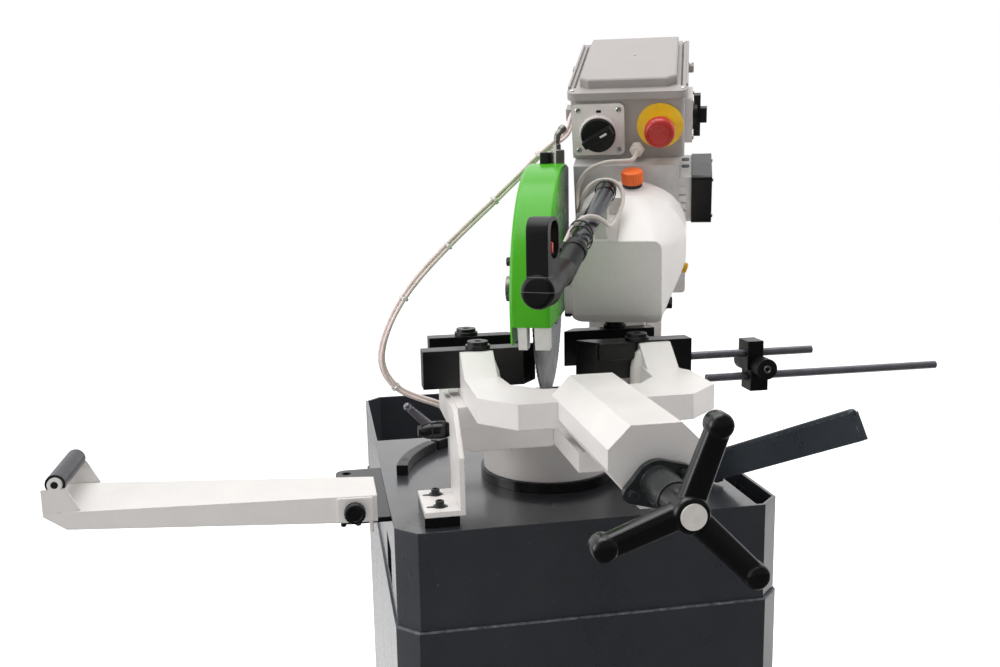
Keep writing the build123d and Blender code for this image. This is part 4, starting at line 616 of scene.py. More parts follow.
def oxide_steel(colours):
    """Black oxide on ground steel: oily black with a dull shine, rubbed bright on its edges, paler there
    than wear alone as a painted highlight.
    """
    return coat("black_oxide_steel", colours.oxide, 25, 1.2, 0.05, 0.32, 1.3, linear("#8a8b8d"), 0.85)


def lever_enamel(colours):
    """Blue-grey enamel on a forged lever: glossy, with bright steel on its rubbed edges, made paler as a
    painted highlight.
    """
    return coat("lever_enamel_blue_grey", colours.lever, 25, 2.5, 0.10, 0.30, 1.5, linear("#9aa0a5"), 0.9)


def rod_steel(colours):
    """Drawn steel rod, oiled dark: a pale streak along its top."""
    return coat(
        "oiled_rod_steel", colours.rod, 18, 1.0, 0.04, 0.28, 1.2,
        linear("#9a9b9d"), 0.8, Metallic=0.75,
    )


def fitting_nickel(colours):
    """Nickel plate gone dull with coolant: grey with a broken shine."""
    return coat("dull_nickel_plate", colours.fitting, 6, 1.2, 0.05, 0.34, 0.6, spread=0.2, Metallic=0.8)


def ring_enamel(colours):
    """Black gloss enamel on turned and folded steel: deep black with clear highlights."""
    return coat("gloss_enamel_black", colours.black_gloss, 40, 2.0, 0.06, 0.22, 1.5)


def bright_steel(colours):
    """Nickel plate on small screws: bright, with faint tool marks."""
    return coat("nickel_plate", colours.steel, 12, 0.8, 0.02, 0.22, 0.5, Metallic=1.0)


def greased_steel(colours):
    """Cast housing of the screw: dark steel under smears of wet grease."""
    return coat(
        "greased_dark_steel", colours.grease, 9, 2.5, 0.4, 0.18, 1.0,
        linear("#8c8f92"), 0.8, spread=0.25, Metallic=0.4,
    )


def blade_steel(colours):
    """Ground tool steel: fine rings about the blade's centre, drawn 1.6 mm apart so that they show."""
    material, tree, shader, place = begin("ground_blade_steel")
    centre = tuple(-MM * part for part in BLADE)
    local = node(tree, "VectorMath", {0: place, 1: centre}, operation="ADD").outputs["Vector"]
    radius = node(tree, "VectorMath", {0: local}, operation="LENGTH").outputs["Value"]
    line = node(tree, "CombineXYZ", {"X": radius}).outputs["Vector"]
    rings = node(tree, "TexNoise", {"Vector": line, "Scale": 1 / (BLADE_RING * MM), "Detail": 6.0})
    smear = node(tree, "TexNoise", {"Vector": place, "Scale": 1 / (BLADE_SMEAR * MM), "Detail": 3.0})
    ends = {"Value": rings.outputs["Fac"], "To Min": 0.16, "To Max": 0.32}
    lift = {"Height": rings.outputs["Fac"], "Strength": 0.5, "Distance": 0.02 * MM}
    patch = {"Value": smear.outputs["Fac"], "From Min": 0.36, "From Max": 0.64}
    share = node(tree, "MapRange", patch).outputs["Result"]
    tones = {0: share, 6: shaded(colours.blade, 0.45), 7: shaded(colours.blade, 1.35)}
    base = node(tree, "Mix", tones, data_type="RGBA").outputs[2]
    sockets = {"Base Color": base, "Metallic": 1.0}
    sockets["Roughness"] = node(tree, "MapRange", ends).outputs["Result"]
    sockets["Normal"] = node(tree, "Bump", lift).outputs["Normal"]
    join_sockets(tree, shader, sockets)
    return material


def tube_steel(colours):
    """Drawn steel tube, polished dark: sharp bright and black bands along it, with faint scuffs."""
    return coat("polished_tube", colours.tube, 14, 0.9, 0.02, 0.22, 0.6, Metallic=1.0)


def motor_paint(colours):
    """Pale grey paint on the cast motor frame: matt and a little dusty."""
    return coat("motor_paint_pale_grey", colours.motor, 35, 2.0, 0.12, 0.45, 1.2)


def bracket_zinc(colours):
    """Zinc-plated saddle plate: grey with a soft spangle about 12 mm across."""
    return coat("zinc_plated_plate", colours.bracket, 12, 1.5, 0.04, 0.42, 0.8, Metallic=0.3)


def black_plastic(colours):
    """Glass-filled black nylon: satin with a fine moulded grain and paler rubbed edges, partly a painted
    highlight.
    """
    return coat("black_nylon", colours.black_plastic, 30, 0.8, 0.05, 0.38, 1.4, linear("#4a4a4c"), 0.6)


def grip_plastic(colours):
    """Handle moulded in black nylon, polished by hands, with pale moulding lines round its ball end."""
    material = coat(
        "black_nylon_grip", colours.black_plastic, 30, 1.0, 0.04, 0.34, 1.6,
        linear("#4a4a4c"), 0.6, **{"Specular IOR Level": 0.25},
    )
    tree = material.node_tree
    ball = (BLADE + TUBE_END[0] * ACROSS + TUBE_END[1] * BACK) @ GRIP_OUT + BALL_REACH
    ends = reach_share(material, GRIP_OUT, ball - 1.0, ball + 1.0)
    for height in PARTING_LINES:
        low = reach_share(material, UP, height - 0.4, height)
        high = reach_share(material, UP, height + 0.8, height + 0.4)
        line = node(tree, "Math", {0: low, 1: high}, operation="MULTIPLY").outputs["Value"]
        share = node(tree, "Math", {0: line, 1: ends}, operation="MULTIPLY").outputs["Value"]
        repaint(material, share, linear("#5b5b5e"))
    return material


def terminal_plastic(colours):
    """Black moulded terminal box: glossier than the grip, with a fine grain."""
    return coat(
        "black_moulded_box", colours.black_plastic, 30, 0.8, 0.03, 0.28, 1.4,
        linear("#3c3c3e"), 0.4,
    )


def black_resin(colours):
    """Polished phenolic resin: deep gloss black with long soft scuffs."""
    return coat("phenolic_resin_black", colours.black_gloss, 22, 6, 0.05, 0.20, 1.2)


def pale_plastic(colours):
    """Pale moulded cap in the wheel's hub: even and satin."""
    return coat("moulded_cap_pale", colours.pale_plastic, 10, 0.8, 0.03, 0.40, 0.6)


def white_plastic(colours):
    """White acetal: waxy, milky and a little scuffed."""
    return coat("white_acetal", colours.white_plastic, 15, 1.2, 0.05, 0.38, 0.8, linear("#b9b6ae"), 0.7)


def stop_yellow(colours):
    """Yellow moulded plastic under the stop button: even, with a satin shine."""
    return coat("moulded_plastic_yellow", colours.stop_yellow, 18, 0.8, 0.03, 0.38, 0.5)


def stop_red(colours):
    """Red moulded plastic of the stop button and the trigger: smooth, with a soft shine."""
    return coat("moulded_plastic_red", colours.stop_red, 14, 0.8, 0.03, 0.30, 0.8)


def cap_orange(colours):
    """Orange polypropylene of the oil filler cap: waxy, with soft highlights."""
    return coat("orange_polypropylene", colours.cap_orange, 10, 0.9, 0.05, 0.36, 0.7)


def roller_steel(colours):
    """Turned roller in dark blued steel: soft shine."""
    return coat("blued_roller_steel", colours.roller, 18, 0.8, 0.03, 0.30, 0.8, Metallic=0.7)


def cable_sheath(colours):
    """Off-white PVC sheath: soft shine, handled a little grey in patches."""
    return coat("pvc_sheath_white", colours.cable, 16, 1.5, 0.05, 0.40, 0.4)


def handle_sheath(colours):
    """Grey-white PVC sheath of the handle's cable, greyer where hands and oil reach it."""
    return coat("pvc_sheath_grey", colours.handle_cable, 12, 1.2, 0.05, 0.42, 0.4)


def sight_glass(colours):
    """Amber oil behind a moulded level glass: deep yellow with a sharp glint."""
    return coat("amber_sight_glass", colours.glass, 5, 1.0, 0.02, 0.12, 0.4)


MADE_FINISHES = {}


def finish(maker):
    """The material that a function makes, made once."""
    if maker not in MADE_FINISHES:
        MADE_FINISHES[maker] = maker(bpy.context.scene.saw_colours)
    return MADE_FINISHES[maker]


def fit(name, grids, maker, slot, body, stands_for=None, **closed):
    """One piece with its finish, the body it rides on and the node it stands for. The slot argument is not
    used.
    """
    made = piece(name, grids, finish(maker), **closed)
    if stands_for:
        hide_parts(stands_for)
    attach(made, body)


NODE_FINISHES = {
    stand_enamel: "stand_cabinet stand_pan",
    casting_enamel: "turret_barrel vice_base vice_slide base_bracket support_arm gearbox",
    ring_enamel: "turret_ring bracket_spacer centre_post support_bracket",
    oxide_steel: "stop_arc fixed_jaw_left fixed_jaw_right fixed_jaw_bolt_left fixed_jaw_bolt_right "
    "moving_jaw_left moving_jaw_right moving_jaw_bolt_left moving_jaw_bolt_right stop_block hinge_pin",
    rod_steel: "stop_rod_upper stop_rod_lower vice_lock_lever",
    lever_enamel: "turret_lock_lever",
    greased_steel: "spindle_flange vice_screw",
    fitting_nickel: "coolant_tap coolant_block blade_flange",
    blade_steel: "blade blade_spindle",
    guard_enamel: "blade_guard",
    enclosure_paint: "control_box control_lid",
    switch_plastic: "switch_plate control_gland isolator_base",
    motor_paint: "motor",
    bracket_zinc: "box_bracket",
    tube_steel: "handle_tube",
    black_plastic: "selector_knob isolator_handle stop_knob_front stop_knob_back support_knob",
    grip_plastic: "handle_grip",
    terminal_plastic: "terminal_box",
    black_resin: "handwheel",
    pale_plastic: "handwheel_cap",
    white_plastic: "guard_fork",
    stop_yellow: "estop_disc",
    stop_red: "estop_button trigger",
    cap_orange: "oil_cap",
    roller_steel: "support_roller",
    cable_sheath: "cable_bundle",
    handle_sheath: "handle_cable",
}


class SAW_OT_stage(bpy.types.Operator):
    """Makes the floor, the light and the camera of the photograph"""

    bl_idname = "saw.stage"
    bl_label = "Stage"

    def execute(self, context):
        forward = np.array((math.sin(YAW), math.cos(YAW), 0.0)) * math.cos(PITCH) - UP * math.sin(PITCH)
        right = np.array((math.cos(YAW), -math.sin(YAW), 0.0))
        above = np.cross(right, forward)
        turned_right = math.cos(ROLL) * right + math.sin(ROLL) * above
        turned_up = math.cos(ROLL) * above - math.sin(ROLL) * right
        pose = np.eye(4)
        pose[:3] = np.column_stack((turned_right, turned_up, -forward, MM * EYE))
        camera = bpy.data.objects.new("camera", bpy.data.cameras.new("camera"))
        camera.data.sensor_fit = "HORIZONTAL"
        camera.data.sensor_width = SENSOR
        camera.data.lens = LENS
        camera.data.clip_start = 0.05
        camera.matrix_world = Matrix(pose.tolist())
        context.scene.collection.objects.link(camera)
        context.scene.camera = camera
        self.light_room(context)
        for lamp in LAMPS:
            self.add_light(context, *lamp)
        context.scene.view_settings.view_transform = "Standard"
        return {"FINISHED"}

    def add_light(self, context, name, place, size, power, mirrored):
        """Square softbox that looks at the saw."""
        data = bpy.data.lights.new(name, "AREA")
        data.size = size
        data.energy = power
        first, second, line = axes_along(place - LAMP_AIM, (0.3, 0.9, 0.2))
        pose = np.eye(4)
        pose[:3] = np.column_stack((first, second, line, place))
        lamp = bpy.data.objects.new(name, data)
        lamp.matrix_world = Matrix(pose.tolist())
        lamp.visible_glossy = mirrored
        context.scene.collection.objects.link(lamp)

    def light_room(self, context):
        """White room, brighter to the eye and in reflections than the light it gives, and a pale floor.

        Reflections are dim toward the saw's front right, in the room, on the floor and of the lamp there.
        """
        world = bpy.data.worlds.new("white_room")
        world.use_nodes = True
        tree = world.node_tree
        tree.nodes.clear()
        rays = node(tree, "LightPath").outputs
        seen = {0: rays["Is Camera Ray"], 1: rays["Is Transmission Ray"]}
        plain = node(tree, "Math", seen, operation="MAXIMUM").outputs["Value"]
        toward = {0: node(tree, "TexCoord").outputs["Generated"], 1: DIM_TOWARD}
        front = node(tree, "VectorMath", toward, operation="DOT_PRODUCT").outputs["Value"]
        fade = {"Value": front, "From Min": -0.1, "From Max": 0.6, "To Min": 1.0, "To Max": DIM_SHARE}
        mirrored = node(tree, "MapRange", fade).outputs["Result"]
        shine = {"Value": rays["Is Glossy Ray"], "To Min": ROOM_LIGHT, "To Max": mirrored}
        lit = node(tree, "MapRange", shine).outputs["Result"]
        strength = node(tree, "MapRange", {"Value": plain, "To Min": lit, "To Max": 1.0})
        white = {"Color": (1.0, 1.0, 1.0, 1.0), "Strength": strength.outputs["Result"]}
        room = node(tree, "Background", white)
        node(tree, "OutputWorld", {"Surface": room.outputs["Background"]})
        context.scene.world = world
        material, tree, shader, place = begin("pale_floor")
        rays = node(tree, "LightPath").outputs
        speckle = node(tree, "TexNoise", {"Vector": place, "Scale": 1 / (40 * MM)})
        colour = list(context.scene.saw_colours.floor)
        tones = {0: speckle.outputs["Fac"], 6: shaded(colour, 0.99), 7: colour}
        base = node(tree, "Mix", tones, data_type="RGBA").outputs[2]
        glow = node(tree, "Math", {0: rays["Is Camera Ray"], 1: 0.9}, operation="MULTIPLY")
        sockets = {"Base Color": base, "Roughness": 0.9, "Emission Color": (1.0, 1.0, 1.0, 1.0)}
        sockets["Emission Strength"] = glow.outputs["Value"]
        join_sockets(tree, shader, sockets)
        ahead = {0: reach_share(material, FRONT, -300.0, 600.0), 1: rays["Is Glossy Ray"]}
        dim = node(tree, "Math", ahead, operation="MULTIPLY").outputs["Value"]
        repaint(material, dim, linear("#3a3a3a"))
        span = np.array((-FLOOR_HALF, FLOOR_HALF))
        corners = np.stack(np.meshgrid(span, span, indexing="ij") + [np.full((2, 2), -0.2 * MM)], axis=-1)
        piece("floor", [corners], material, around=False)


class SAW_OT_cables(bpy.types.Operator):
    """Makes the handle's cable and the bundle of cables to the stand"""

    bl_idname = "saw.cables"
    bl_label = "Cables"

    def execute(self, context):
        sizes = context.scene.saw_sizes
        route = np.array([level(*point) for point in HANDLE_ROUTE])
        cable = smooth_line("handle_cable_sheath", route)
        cable.data.bevel_depth = sizes.handle_cable / 2
        cable.data.bevel_resolution = 5
        cable.data.use_fill_caps = True
        cable.data.materials.append(finish(handle_sheath))
        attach(cable, "head")
        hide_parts("handle_cable")
        path = line_points(MM * np.array(BUNDLE_ROUTE))
        share, first, second = line_frames(path, BUNDLE_HINT)
        grids = []
        for number in range(sizes.strands):
            turn = 2 * math.pi * (number / sizes.strands + BUNDLE_TURNS * share)[:, None]
            out = np.cos(turn) * first + np.sin(turn) * second
            strand = path + (sizes.bundle - sizes.strand) / 2 * out
            grids.append(tube_along(strand, first, second, sizes.strand / 2))
        bundle = piece("cable_bundle_strands", grids, finish(cable_sheath))
        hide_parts("cable_bundle")
        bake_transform(bundle)
        ties = [self.bundle_tie(sizes, path, share, first, second, place) for place in BUNDLE_TIES]
        rings, blocks = zip(*ties)
        held = piece("bundle_ties", rings, finish(white_plastic), along=True)
        heads = piece("bundle_tie_heads", blocks, finish(white_plastic))
        for made in (held, heads):
            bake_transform(made)
        return {"FINISHED"}

    def bundle_tie(self, sizes, path, share, first, second, place):
        """Band round the bundle at a share of its length, and the tie's small head."""
        at = int(np.argmin(abs(share - place)))
        line = np.cross(first[at], second[at])
        reach = sizes.bundle / 2 + 0.1 * MM
        ring = band(path[at], line, (reach, reach), sizes.tie_width, sizes.tie_thickness, first[at])
        centre = path[at] + first[at] * (reach + 1.6 * MM)
        return ring, rounded_block(centre, (second[at], line, first[at]), (2.4, 2.2, 1.8))


class SAW_OT_handle_ties(bpy.types.Operator):
    """Makes the black ties that hold the handle's cable on its tube"""

    bl_idname = "saw.handle_ties"
    bl_label = "Handle ties"

    def execute(self, context):
        sizes = context.scene.saw_sizes
        width = 0.8 * sizes.tie_width
        along = TUBE_END - TUBE_TOP
        axis = along[0] * ACROSS + along[1] * BACK + along[2] * UP
        bands = []
        for share, drift, radii in HANDLE_TIES:
            centre = level(*(TUBE_TOP + share * along)) + MM * (drift[0] * ACROSS + drift[1] * UP)
            bands.append(band(centre, axis, MM * np.array(radii), width, sizes.tie_thickness, ACROSS))
        fit("handle_cable_ties", bands, black_plastic, "black_plastic", "head", along=True)
        return {"FINISHED"}


class SAW_OT_control_fittings(bpy.types.Operator):
    """Makes the screws and small marks of the control box and its switches"""

    bl_idname = "saw.control_fittings"
    bl_label = "Control box fittings"

    def execute(self, context):
        sizes = context.scene.saw_sizes
        u, v, w = SWITCH
        screws = []
        for side, row in CORNERS:
            place = head(u + 26.5 * side, v, w + 5 + 27 * row)
            screws.append(screw_head(place, -HEAD_BACK, sizes.plate_screw, HEAD_UP + 0.4 * ACROSS))
        for side, row in CORNERS:
            place = head(180, 200 + 21 * side, 162 + 24 * row)
            screws.append(screw_head(place, ACROSS, sizes.plate_screw, HEAD_UP + 0.2 * HEAD_BACK))
        for across, back in LID_SCREWS:
            place = head(across, back, 214)
            screws.append(screw_head(place, HEAD_UP, sizes.lid_screw, HEAD_BACK + 0.3 * ACROSS))
        fit("control_screws", screws, bright_steel, "bright_steel", "head")
        rows = [(22.6, 0), (25.4, 0), (24.8, 5.2), (24, 6), (22.6, 6)]
        collar = turned(rows, head(*SWITCH), -HEAD_BACK, HEAD_UP, 96)
        fit("switch_collar", [collar], switch_plastic, "switch_plastic", "head", along=True)
        window = rounded_block(head(u + 0.8, v - 0.1, w + 30), HEAD_FACE, (3.2, 1.7, 0.5))
        fit("switch_window", [window], black_plastic, "black_plastic", "head")
        turn = math.radians(30)
        line = math.cos(turn) * ACROSS + math.sin(turn) * HEAD_UP
        over = math.cos(turn) * HEAD_UP - math.sin(turn) * ACROSS
        centre = head(u, 114.7, w) + 9 * MM * line
        pointer = rounded_block(centre, (line, over, HEAD_BACK), (5, 1.4, 0.35))
        fit("selector_pointer", [pointer], white_plastic, "white_plastic", "selector")
        return {"FINISHED"}


class SAW_OT_lid_fittings(bpy.types.Operator):
    """Makes the control lid's side flanges and ears, and a dark strip of painted shade in the channel
    beside each flange
    """

    bl_idname = "saw.lid_fittings"
    bl_label = "Lid fittings"

    def execute(self, context):
        plates = [rounded_block(head(99.8, 270.7, 226), HEAD_TOP, (2.2, 2.2, 0.8), 0.8)]
        channel_shades = []
        middle, back = LID_MIDDLE
        for side in (-1, 1):
            ear = head(middle + 1.5 + 77.5 * side, back - 5, 208.8)
            plates.append(rounded_block(ear, HEAD_TOP, (6, 9, 5.2)))
            flange = head(middle + 76.5 * side, back, 215.5)
            plates.append(rounded_block(flange, HEAD_TOP, (1.5, 109, 2), 0.12))
            # Thin black strip beside each flange: painted shade in the channel next to the lid's panel
            channel_shade = head(middle + 69.5 * side, back, 213.9)
            channel_shades.append(rounded_block(channel_shade, HEAD_TOP, (1.2, 104, 1), 0.12))
        fit("lid_flanges", plates, enclosure_paint, "enclosure_paint", "head")
        fit("lid_channel_painted_shade", channel_shades, black_plastic, "black_plastic", "head")
        return {"FINISHED"}


class SAW_OT_stop_button(bpy.types.Operator):
    """Makes the stop button with its ring groove"""

    bl_idname = "saw.stop_button"
    bl_label = "Stop button"

    def execute(self, context):
        rows = [(0, 0), (10, 0), (10, 18.3), (18.6, 18.3), (19.5, 19.2), (19.5, 27), (19.2, 29.6)]
        rows += [(18.2, 31.8), (16.6, 33.3), (14.8, 34), (14.2, 33.5), (13.4, 33.5), (12.8, 34.1)]
        rows += [(8, 34.3), (4, 34.3), (0, 34.3)]
        shape = turned(rows, head(*STOP_SEAT), -HEAD_BACK, HEAD_UP, 72)
        fit("stop_button_head", [shape], stop_red, "red_plastic", "stop_button", "estop_button")
        return {"FINISHED"}


class SAW_OT_handwheel(bpy.types.Operator):
    """Makes the three-armed wheel of the vice with a knob on each arm"""

    bl_idname = "saw.handwheel"
    bl_label = "Handwheel"

    def execute(self, context):
        deep = WHEEL_BACK - WHEEL_FRONT
        rows = [(8.05, 0), (15.4, 0), (16, 0.8), (16, deep - 5), (15.6, deep - 2.2)]
        rows += [(14.4, deep - 0.6), (12.6, deep), (0, deep), (0, 30), (8.05, 30)]
        grids = [turned(rows, bench(0, WHEEL_BACK, WHEEL_HEIGHT), FRONT, UP, 72)]
        knob = [(0, -11), (9, -11), (10.4, -9.6), (11, -7), (11, 3.4)]
        knob += [(10.5, 5.6), (9.2, 7.4), (6.6, 8.6), (0, 9)]
        root = bench(0, WHEEL_FRONT + 14, WHEEL_HEIGHT)
        for number in range(3):
            turn = math.radians(WHEEL_TURN + 120 * number)
            x = WHEEL_REACH * math.cos(turn)
            tip = bench(x, WHEEL_FRONT, WHEEL_HEIGHT + WHEEL_REACH * math.sin(turn))
            grids.append(bar(root, tip, FRONT, (11.6, 10.2), (8.5, 7.6), 0.62))
            grids.append(turned(knob, tip, FRONT))
        fit("handwheel_arms", grids, black_resin, "black_gloss", "vice_wheel", "handwheel")
        return {"FINISHED"}


class SAW_OT_levers(bpy.types.Operator):
    """Makes the vice's lock lever with its hub, and the edge along the turret's flat lever"""

    bl_idname = "saw.levers"
    bl_label = "Levers"

    def execute(self, context):
        rows = [(0, 0), (5.4, 0), (5.4, 3), (8.4, 4.2), (10, 8), (10.8, 13), (10.8, 22)]
        rows += [(10.2, 24), (10.2, 25), (10.6, 25.8), (9.8, 31), (7.6, 37), (6, 39.8)]
        rows += [(6, 41.4), (0, 41.8)]
        hub = turned(rows, bench(-135.3, LOCK_ROW, 88), -RIGHT)
        fit("lock_lever_hub", [hub], black_resin, "black_gloss", "vice_lock")
        tip = bench(-188.4, LOCK_ROW, 119)
        ball = [(0, -4.2), (2.4, -3.9), (4.2, -2.2), (4.8, 0), (4.2, 2.2)]
        ball += [(2.4, 3.6), (1.6, 3.6), (1.4, 2), (0, 2)]
        arm = bar(bench(-160, LOCK_ROW, 91), tip, FRONT, (6, 4.2), (2.8, 2.4))
        grids = [arm, turned(ball, tip, FRONT)]
        fit("lock_lever_arm", grids, rod_steel, "black_steel", "vice_lock", "vice_lock_lever")
        heading = math.cos(LEVER_HEADING) * RIGHT + math.sin(LEVER_HEADING) * REAR
        slope = math.cos(LEVER_RISE) * heading + math.sin(LEVER_RISE) * UP
        above = math.cos(LEVER_RISE) * UP - math.sin(LEVER_RISE) * heading
        start = bench(180, -69, 19) + MM * (25 * heading + 15 * above)
        ends = [start + reach * MM * slope for reach in (22, 219)]
        edge = bar(*ends, UP, (6, 6), (5.5, 5.5), 0.9)
        fit("turret_lever_edge", [edge], lever_enamel, "black_steel", "turret_lock")
        return {"FINISHED"}


class SAW_OT_knobs(bpy.types.Operator):
    """Makes the flutes of the support's knob and the ring in the stop's front knob"""

    bl_idname = "saw.knobs"
    bl_label = "Knobs"

    def execute(self, context):
        rows = [(0, 0), (9, 0), (9, 1.5), (12.2, 2, 0.6), (12.4, 9.5, 0.6), (11.4, 11.2, 0.3)]
        rows += [(8.5, 11.8), (7.9, 11), (0, 11.2)]
        shape = turned(rows, MM * SUPPORT_KNOB, FRONT, UP, 160, 20)
        fit("support_knob_flutes", [shape], black_plastic, "black_plastic", "support_clamp", "support_knob")
        ring = [(0, -0.4), (4.8, -0.4), (4.8, 0.5), (4, 0.9), (2.9, 0.7), (2.6, -0.2), (0, -0.2)]
        shape = turned(ring, MM * STOP_KNOB, FRONT)
        fit("stop_knob_ring", [shape], bright_steel, "bright_steel", "front_stop_knob")
        return {"FINISHED"}


class SAW_OT_trigger(bpy.types.Operator):
    """Makes the trigger's stem and its wide pad in the grip"""

    bl_idname = "saw.trigger"
    bl_label = "Trigger"

    def execute(self, context):
        axes = (GRIP_SIDE, GRIP_OUT, UP)
        root = level(*TUBE_END)
        stem = rounded_block(root + MM * (69.5 * GRIP_OUT + 32.2 * UP), axes, (4.8, 6.4, 6.4))
        pad = rounded_block(root + MM * (65.2 * GRIP_OUT + 35.5 * UP), axes, (11, 3, 6))
        fit("trigger_bar", [stem, pad], stop_red, "red_plastic", "trigger", "trigger")
        return {"FINISHED"}


class SAW_OT_vice_fittings(bpy.types.Operator):
    """Makes the moving jaw's insert and the round bosses inside the fork"""

    bl_idname = "saw.vice_fittings"
    bl_label = "Vice fittings"

    def execute(self, context):
        insert = rounded_block(bench(69.5, -75.8, 172.5), np.eye(3), (22.5, 4.4, 10.5), 0.12)
        fit("moving_jaw_insert", [insert], oxide_steel, "black_steel", "vice")
        rows = [(0, 127.2), (12.6, 127.2), (13, 128), (13, 150), (11.5, 158), (7, 170), (0, 176)]
        places = (bench(-89, -79, 0), bench(100, -78, 0))
        bosses = [turned(rows, place, UP, ACROSS) for place in places]
        fit("fork_bosses", bosses, casting_enamel, "casting_paint", "vice")
        return {"FINISHED"}


class SAW_OT_coolant_fitting(bpy.types.Operator):
    """Makes the hexagon fitting on the hood's crown with its elbow tap, and the clip beside it"""

    bl_idname = "saw.coolant_fitting"
    bl_label = "Coolant fitting"

    def execute(self, context):
        rows = [(0, -1.5), (8.9, -1.5, 1), (8.9, 16.2, 1), (8, 17.4, 0.5), (4.6, 17.4, 1), (4.6, 23.6, 1)]
        rows += [(4, 24.4, 0.2), (3.4, 24.4), (3.4, 26.3), (0, 26.3)]
        body = turned(rows, level(12.5, 0, 159.5), UP, ACROSS)
        fit("coolant_hexagon", [body], fitting_nickel, "bright_steel", "head", "coolant_block")
        clip = rounded_block(level(-2, -7.5, 166.4), (ACROSS, BACK, UP), (6, 4.5, 7.6))
        fit("coolant_clip", [clip], black_plastic, "black_plastic", "head")
        bends = (level(12.5, 0, 185.6), level(12.5, 0, 192.5), level(14, 2, 197), level(17.5, 6, 201))
        path = line_points(np.array(bends))
        first, second = line_frames(path, ACROSS - BACK)[1:]
        rows = [(0, -4), (3.4, -4), (4.9, -1), (5.2, 0), (5.2, 4.5), (4.4, 5.4)]
        rows += [(2.6, 5.4), (2.4, 3), (0, 3)]
        elbow = [tube_along(path, first, second, 4 * MM, 24), turned(rows, path[-1], path[-1] - path[-2])]
        fit("coolant_elbow", elbow, fitting_nickel, "bright_steel", "tap", "coolant_tap")
        return {"FINISHED"}


class SAW_OT_filler_cap(bpy.types.Operator):
    """Makes the ribbed cap of the oil filler and its foot"""

    bl_idname = "saw.filler_cap"
    bl_label = "Filler cap"

    def execute(self, context):
        rows = [(0, 4.5), (13.2, 4.5), (14, 6, 1.1), (14, 17.2, 1.1), (13.3, 19.6, 0.5), (11.8, 20.7)]
        cap = turned(rows + [(0, 21)], head(*FILLER), HEAD_UP, HEAD_BACK, 192, 24)
        fit("filler_cap_ribs", [cap], cap_orange, "orange_plastic", "filler_cap", "oil_cap")
        rows = [(0, 0), (12.4, 0), (12.8, 0.6), (12.8, 4.5), (0, 4.5)]
        foot = turned(rows, head(*FILLER), HEAD_UP)
        fit("filler_cap_foot", [foot], black_plastic, "black_plastic", "filler_cap")
        return {"FINISHED"}


class SAW_OT_seam(bpy.types.Operator):
    """Makes the bead round the stand where the pan meets the cabinet, coloured pale as a painted highlight
    """

    bl_idname = "saw.seam"
    bl_label = "Stand seam"

    def execute(self, context):
        width, depth, cut, height = SEAM
        x = width / 2
        y = depth / 2
        corners = [(cut - x, -y), (x - cut, -y), (x, cut - y), (x, y - cut)]
        corners += [(x - cut, y), (cut - x, y), (-x, y - cut), (-x, cut - y)]
        beads = []
        for start, end in zip(corners, corners[1:] + corners[:1]):
            side = np.array(end + (0,)) - np.array(start + (0,))
            run = np.linalg.norm(side)
            axes = (side / run, np.cross(UP, side / run), UP)
            middle = np.array(start + (height,)) + side / 2
            beads.append(rounded_block(MM * middle, axes, (run / 2 + 0.6, 1.5, 1.2), 0.2))
        fit("stand_seam_bead", beads, seam_painted_highlight, "stand_paint", "stand")
        return {"FINISHED"}


class SAW_OT_bench_fittings(bpy.types.Operator):
    """Makes the screws of the bracket's foot and the stop arc beside it"""

    bl_idname = "saw.bench_fittings"
    bl_label = "Bench fittings"

    def execute(self, context):
        radius = context.scene.saw_sizes.cap_screw / MM
        washer = [(0, -0.2), (7.5, -0.2), (7.5, 1.2), (0, 1.2)]
        screws = []
        for row in BRACKET_SCREWS:
            centre = bench(-162, row, 20)
            screws.append(turned(washer, centre, UP, ACROSS))
            screws.append(cap_screw(centre + 1.2 * MM * UP, UP, radius, 6, ACROSS))
            screws.append(rounded_block(bench(-172.5, row, 20), np.eye(3), (4.6, 2.4, 0.3), 0.4))
        middle = sum(ARC_RADII) / 2
        hole = bench(middle * math.cos(ARC_SCREW), middle * math.sin(ARC_SCREW), 13.4)
        screws.append(cap_screw(hole, UP, 4.6, 0.9, ACROSS))
        fit("bench_screws", screws, black_plastic, "black_steel", "stand")
        fit("stop_arc_ring", [ring_part(146.5, 171)], oxide_steel, "black_steel", "stand", "stop_arc")
        ends = [ring_part(136.5, 146.5), ring_part(128, 134)]
        fit("stop_arc_end", ends, oxide_steel, "black_steel", "stand")
        return {"FINISHED"}


class SAW_OT_casing_fittings(bpy.types.Operator):
    """Makes the bolts of the hood and the gear casing, the hood's stay and the casing's bosses"""

    bl_idname = "saw.casing_fittings"
    bl_label = "Casing fittings"

    def execute(self, context):
        screws = [hex_bolt(level(-24, -128, 49), -ACROSS, 5, 7)]
        screws.append(hex_bolt(head(149.8, *CASING_BOLT), ACROSS, 7.2, 8))
        stay = [(0, 0), (3.2, 0), (3.2, 14), (0, 14)]
        screws.append(turned(stay, level(22.5, -10, -30), ACROSS))
        screws.append(rounded_block(level(27, -10, -25), (ACROSS, BACK, UP), (4, 5, 9)))
        fit("hood_screws", screws, oxide_steel, "black_steel", "head")
        rows = [(0, 0), (10.5, 0), (10.5, 9), (9.6, 10), (0, 10)]
        bosses = [turned(rows, head(140, *CASING_BOLT), ACROSS)]
        bosses.append(rounded_block(head(148, 88, -16), HEAD_FACE, (25.5, 32, 6), 0.15))
        fit("gearbox_bosses", bosses, casting_enamel, "casting_paint", "head")
        return {"FINISHED"}


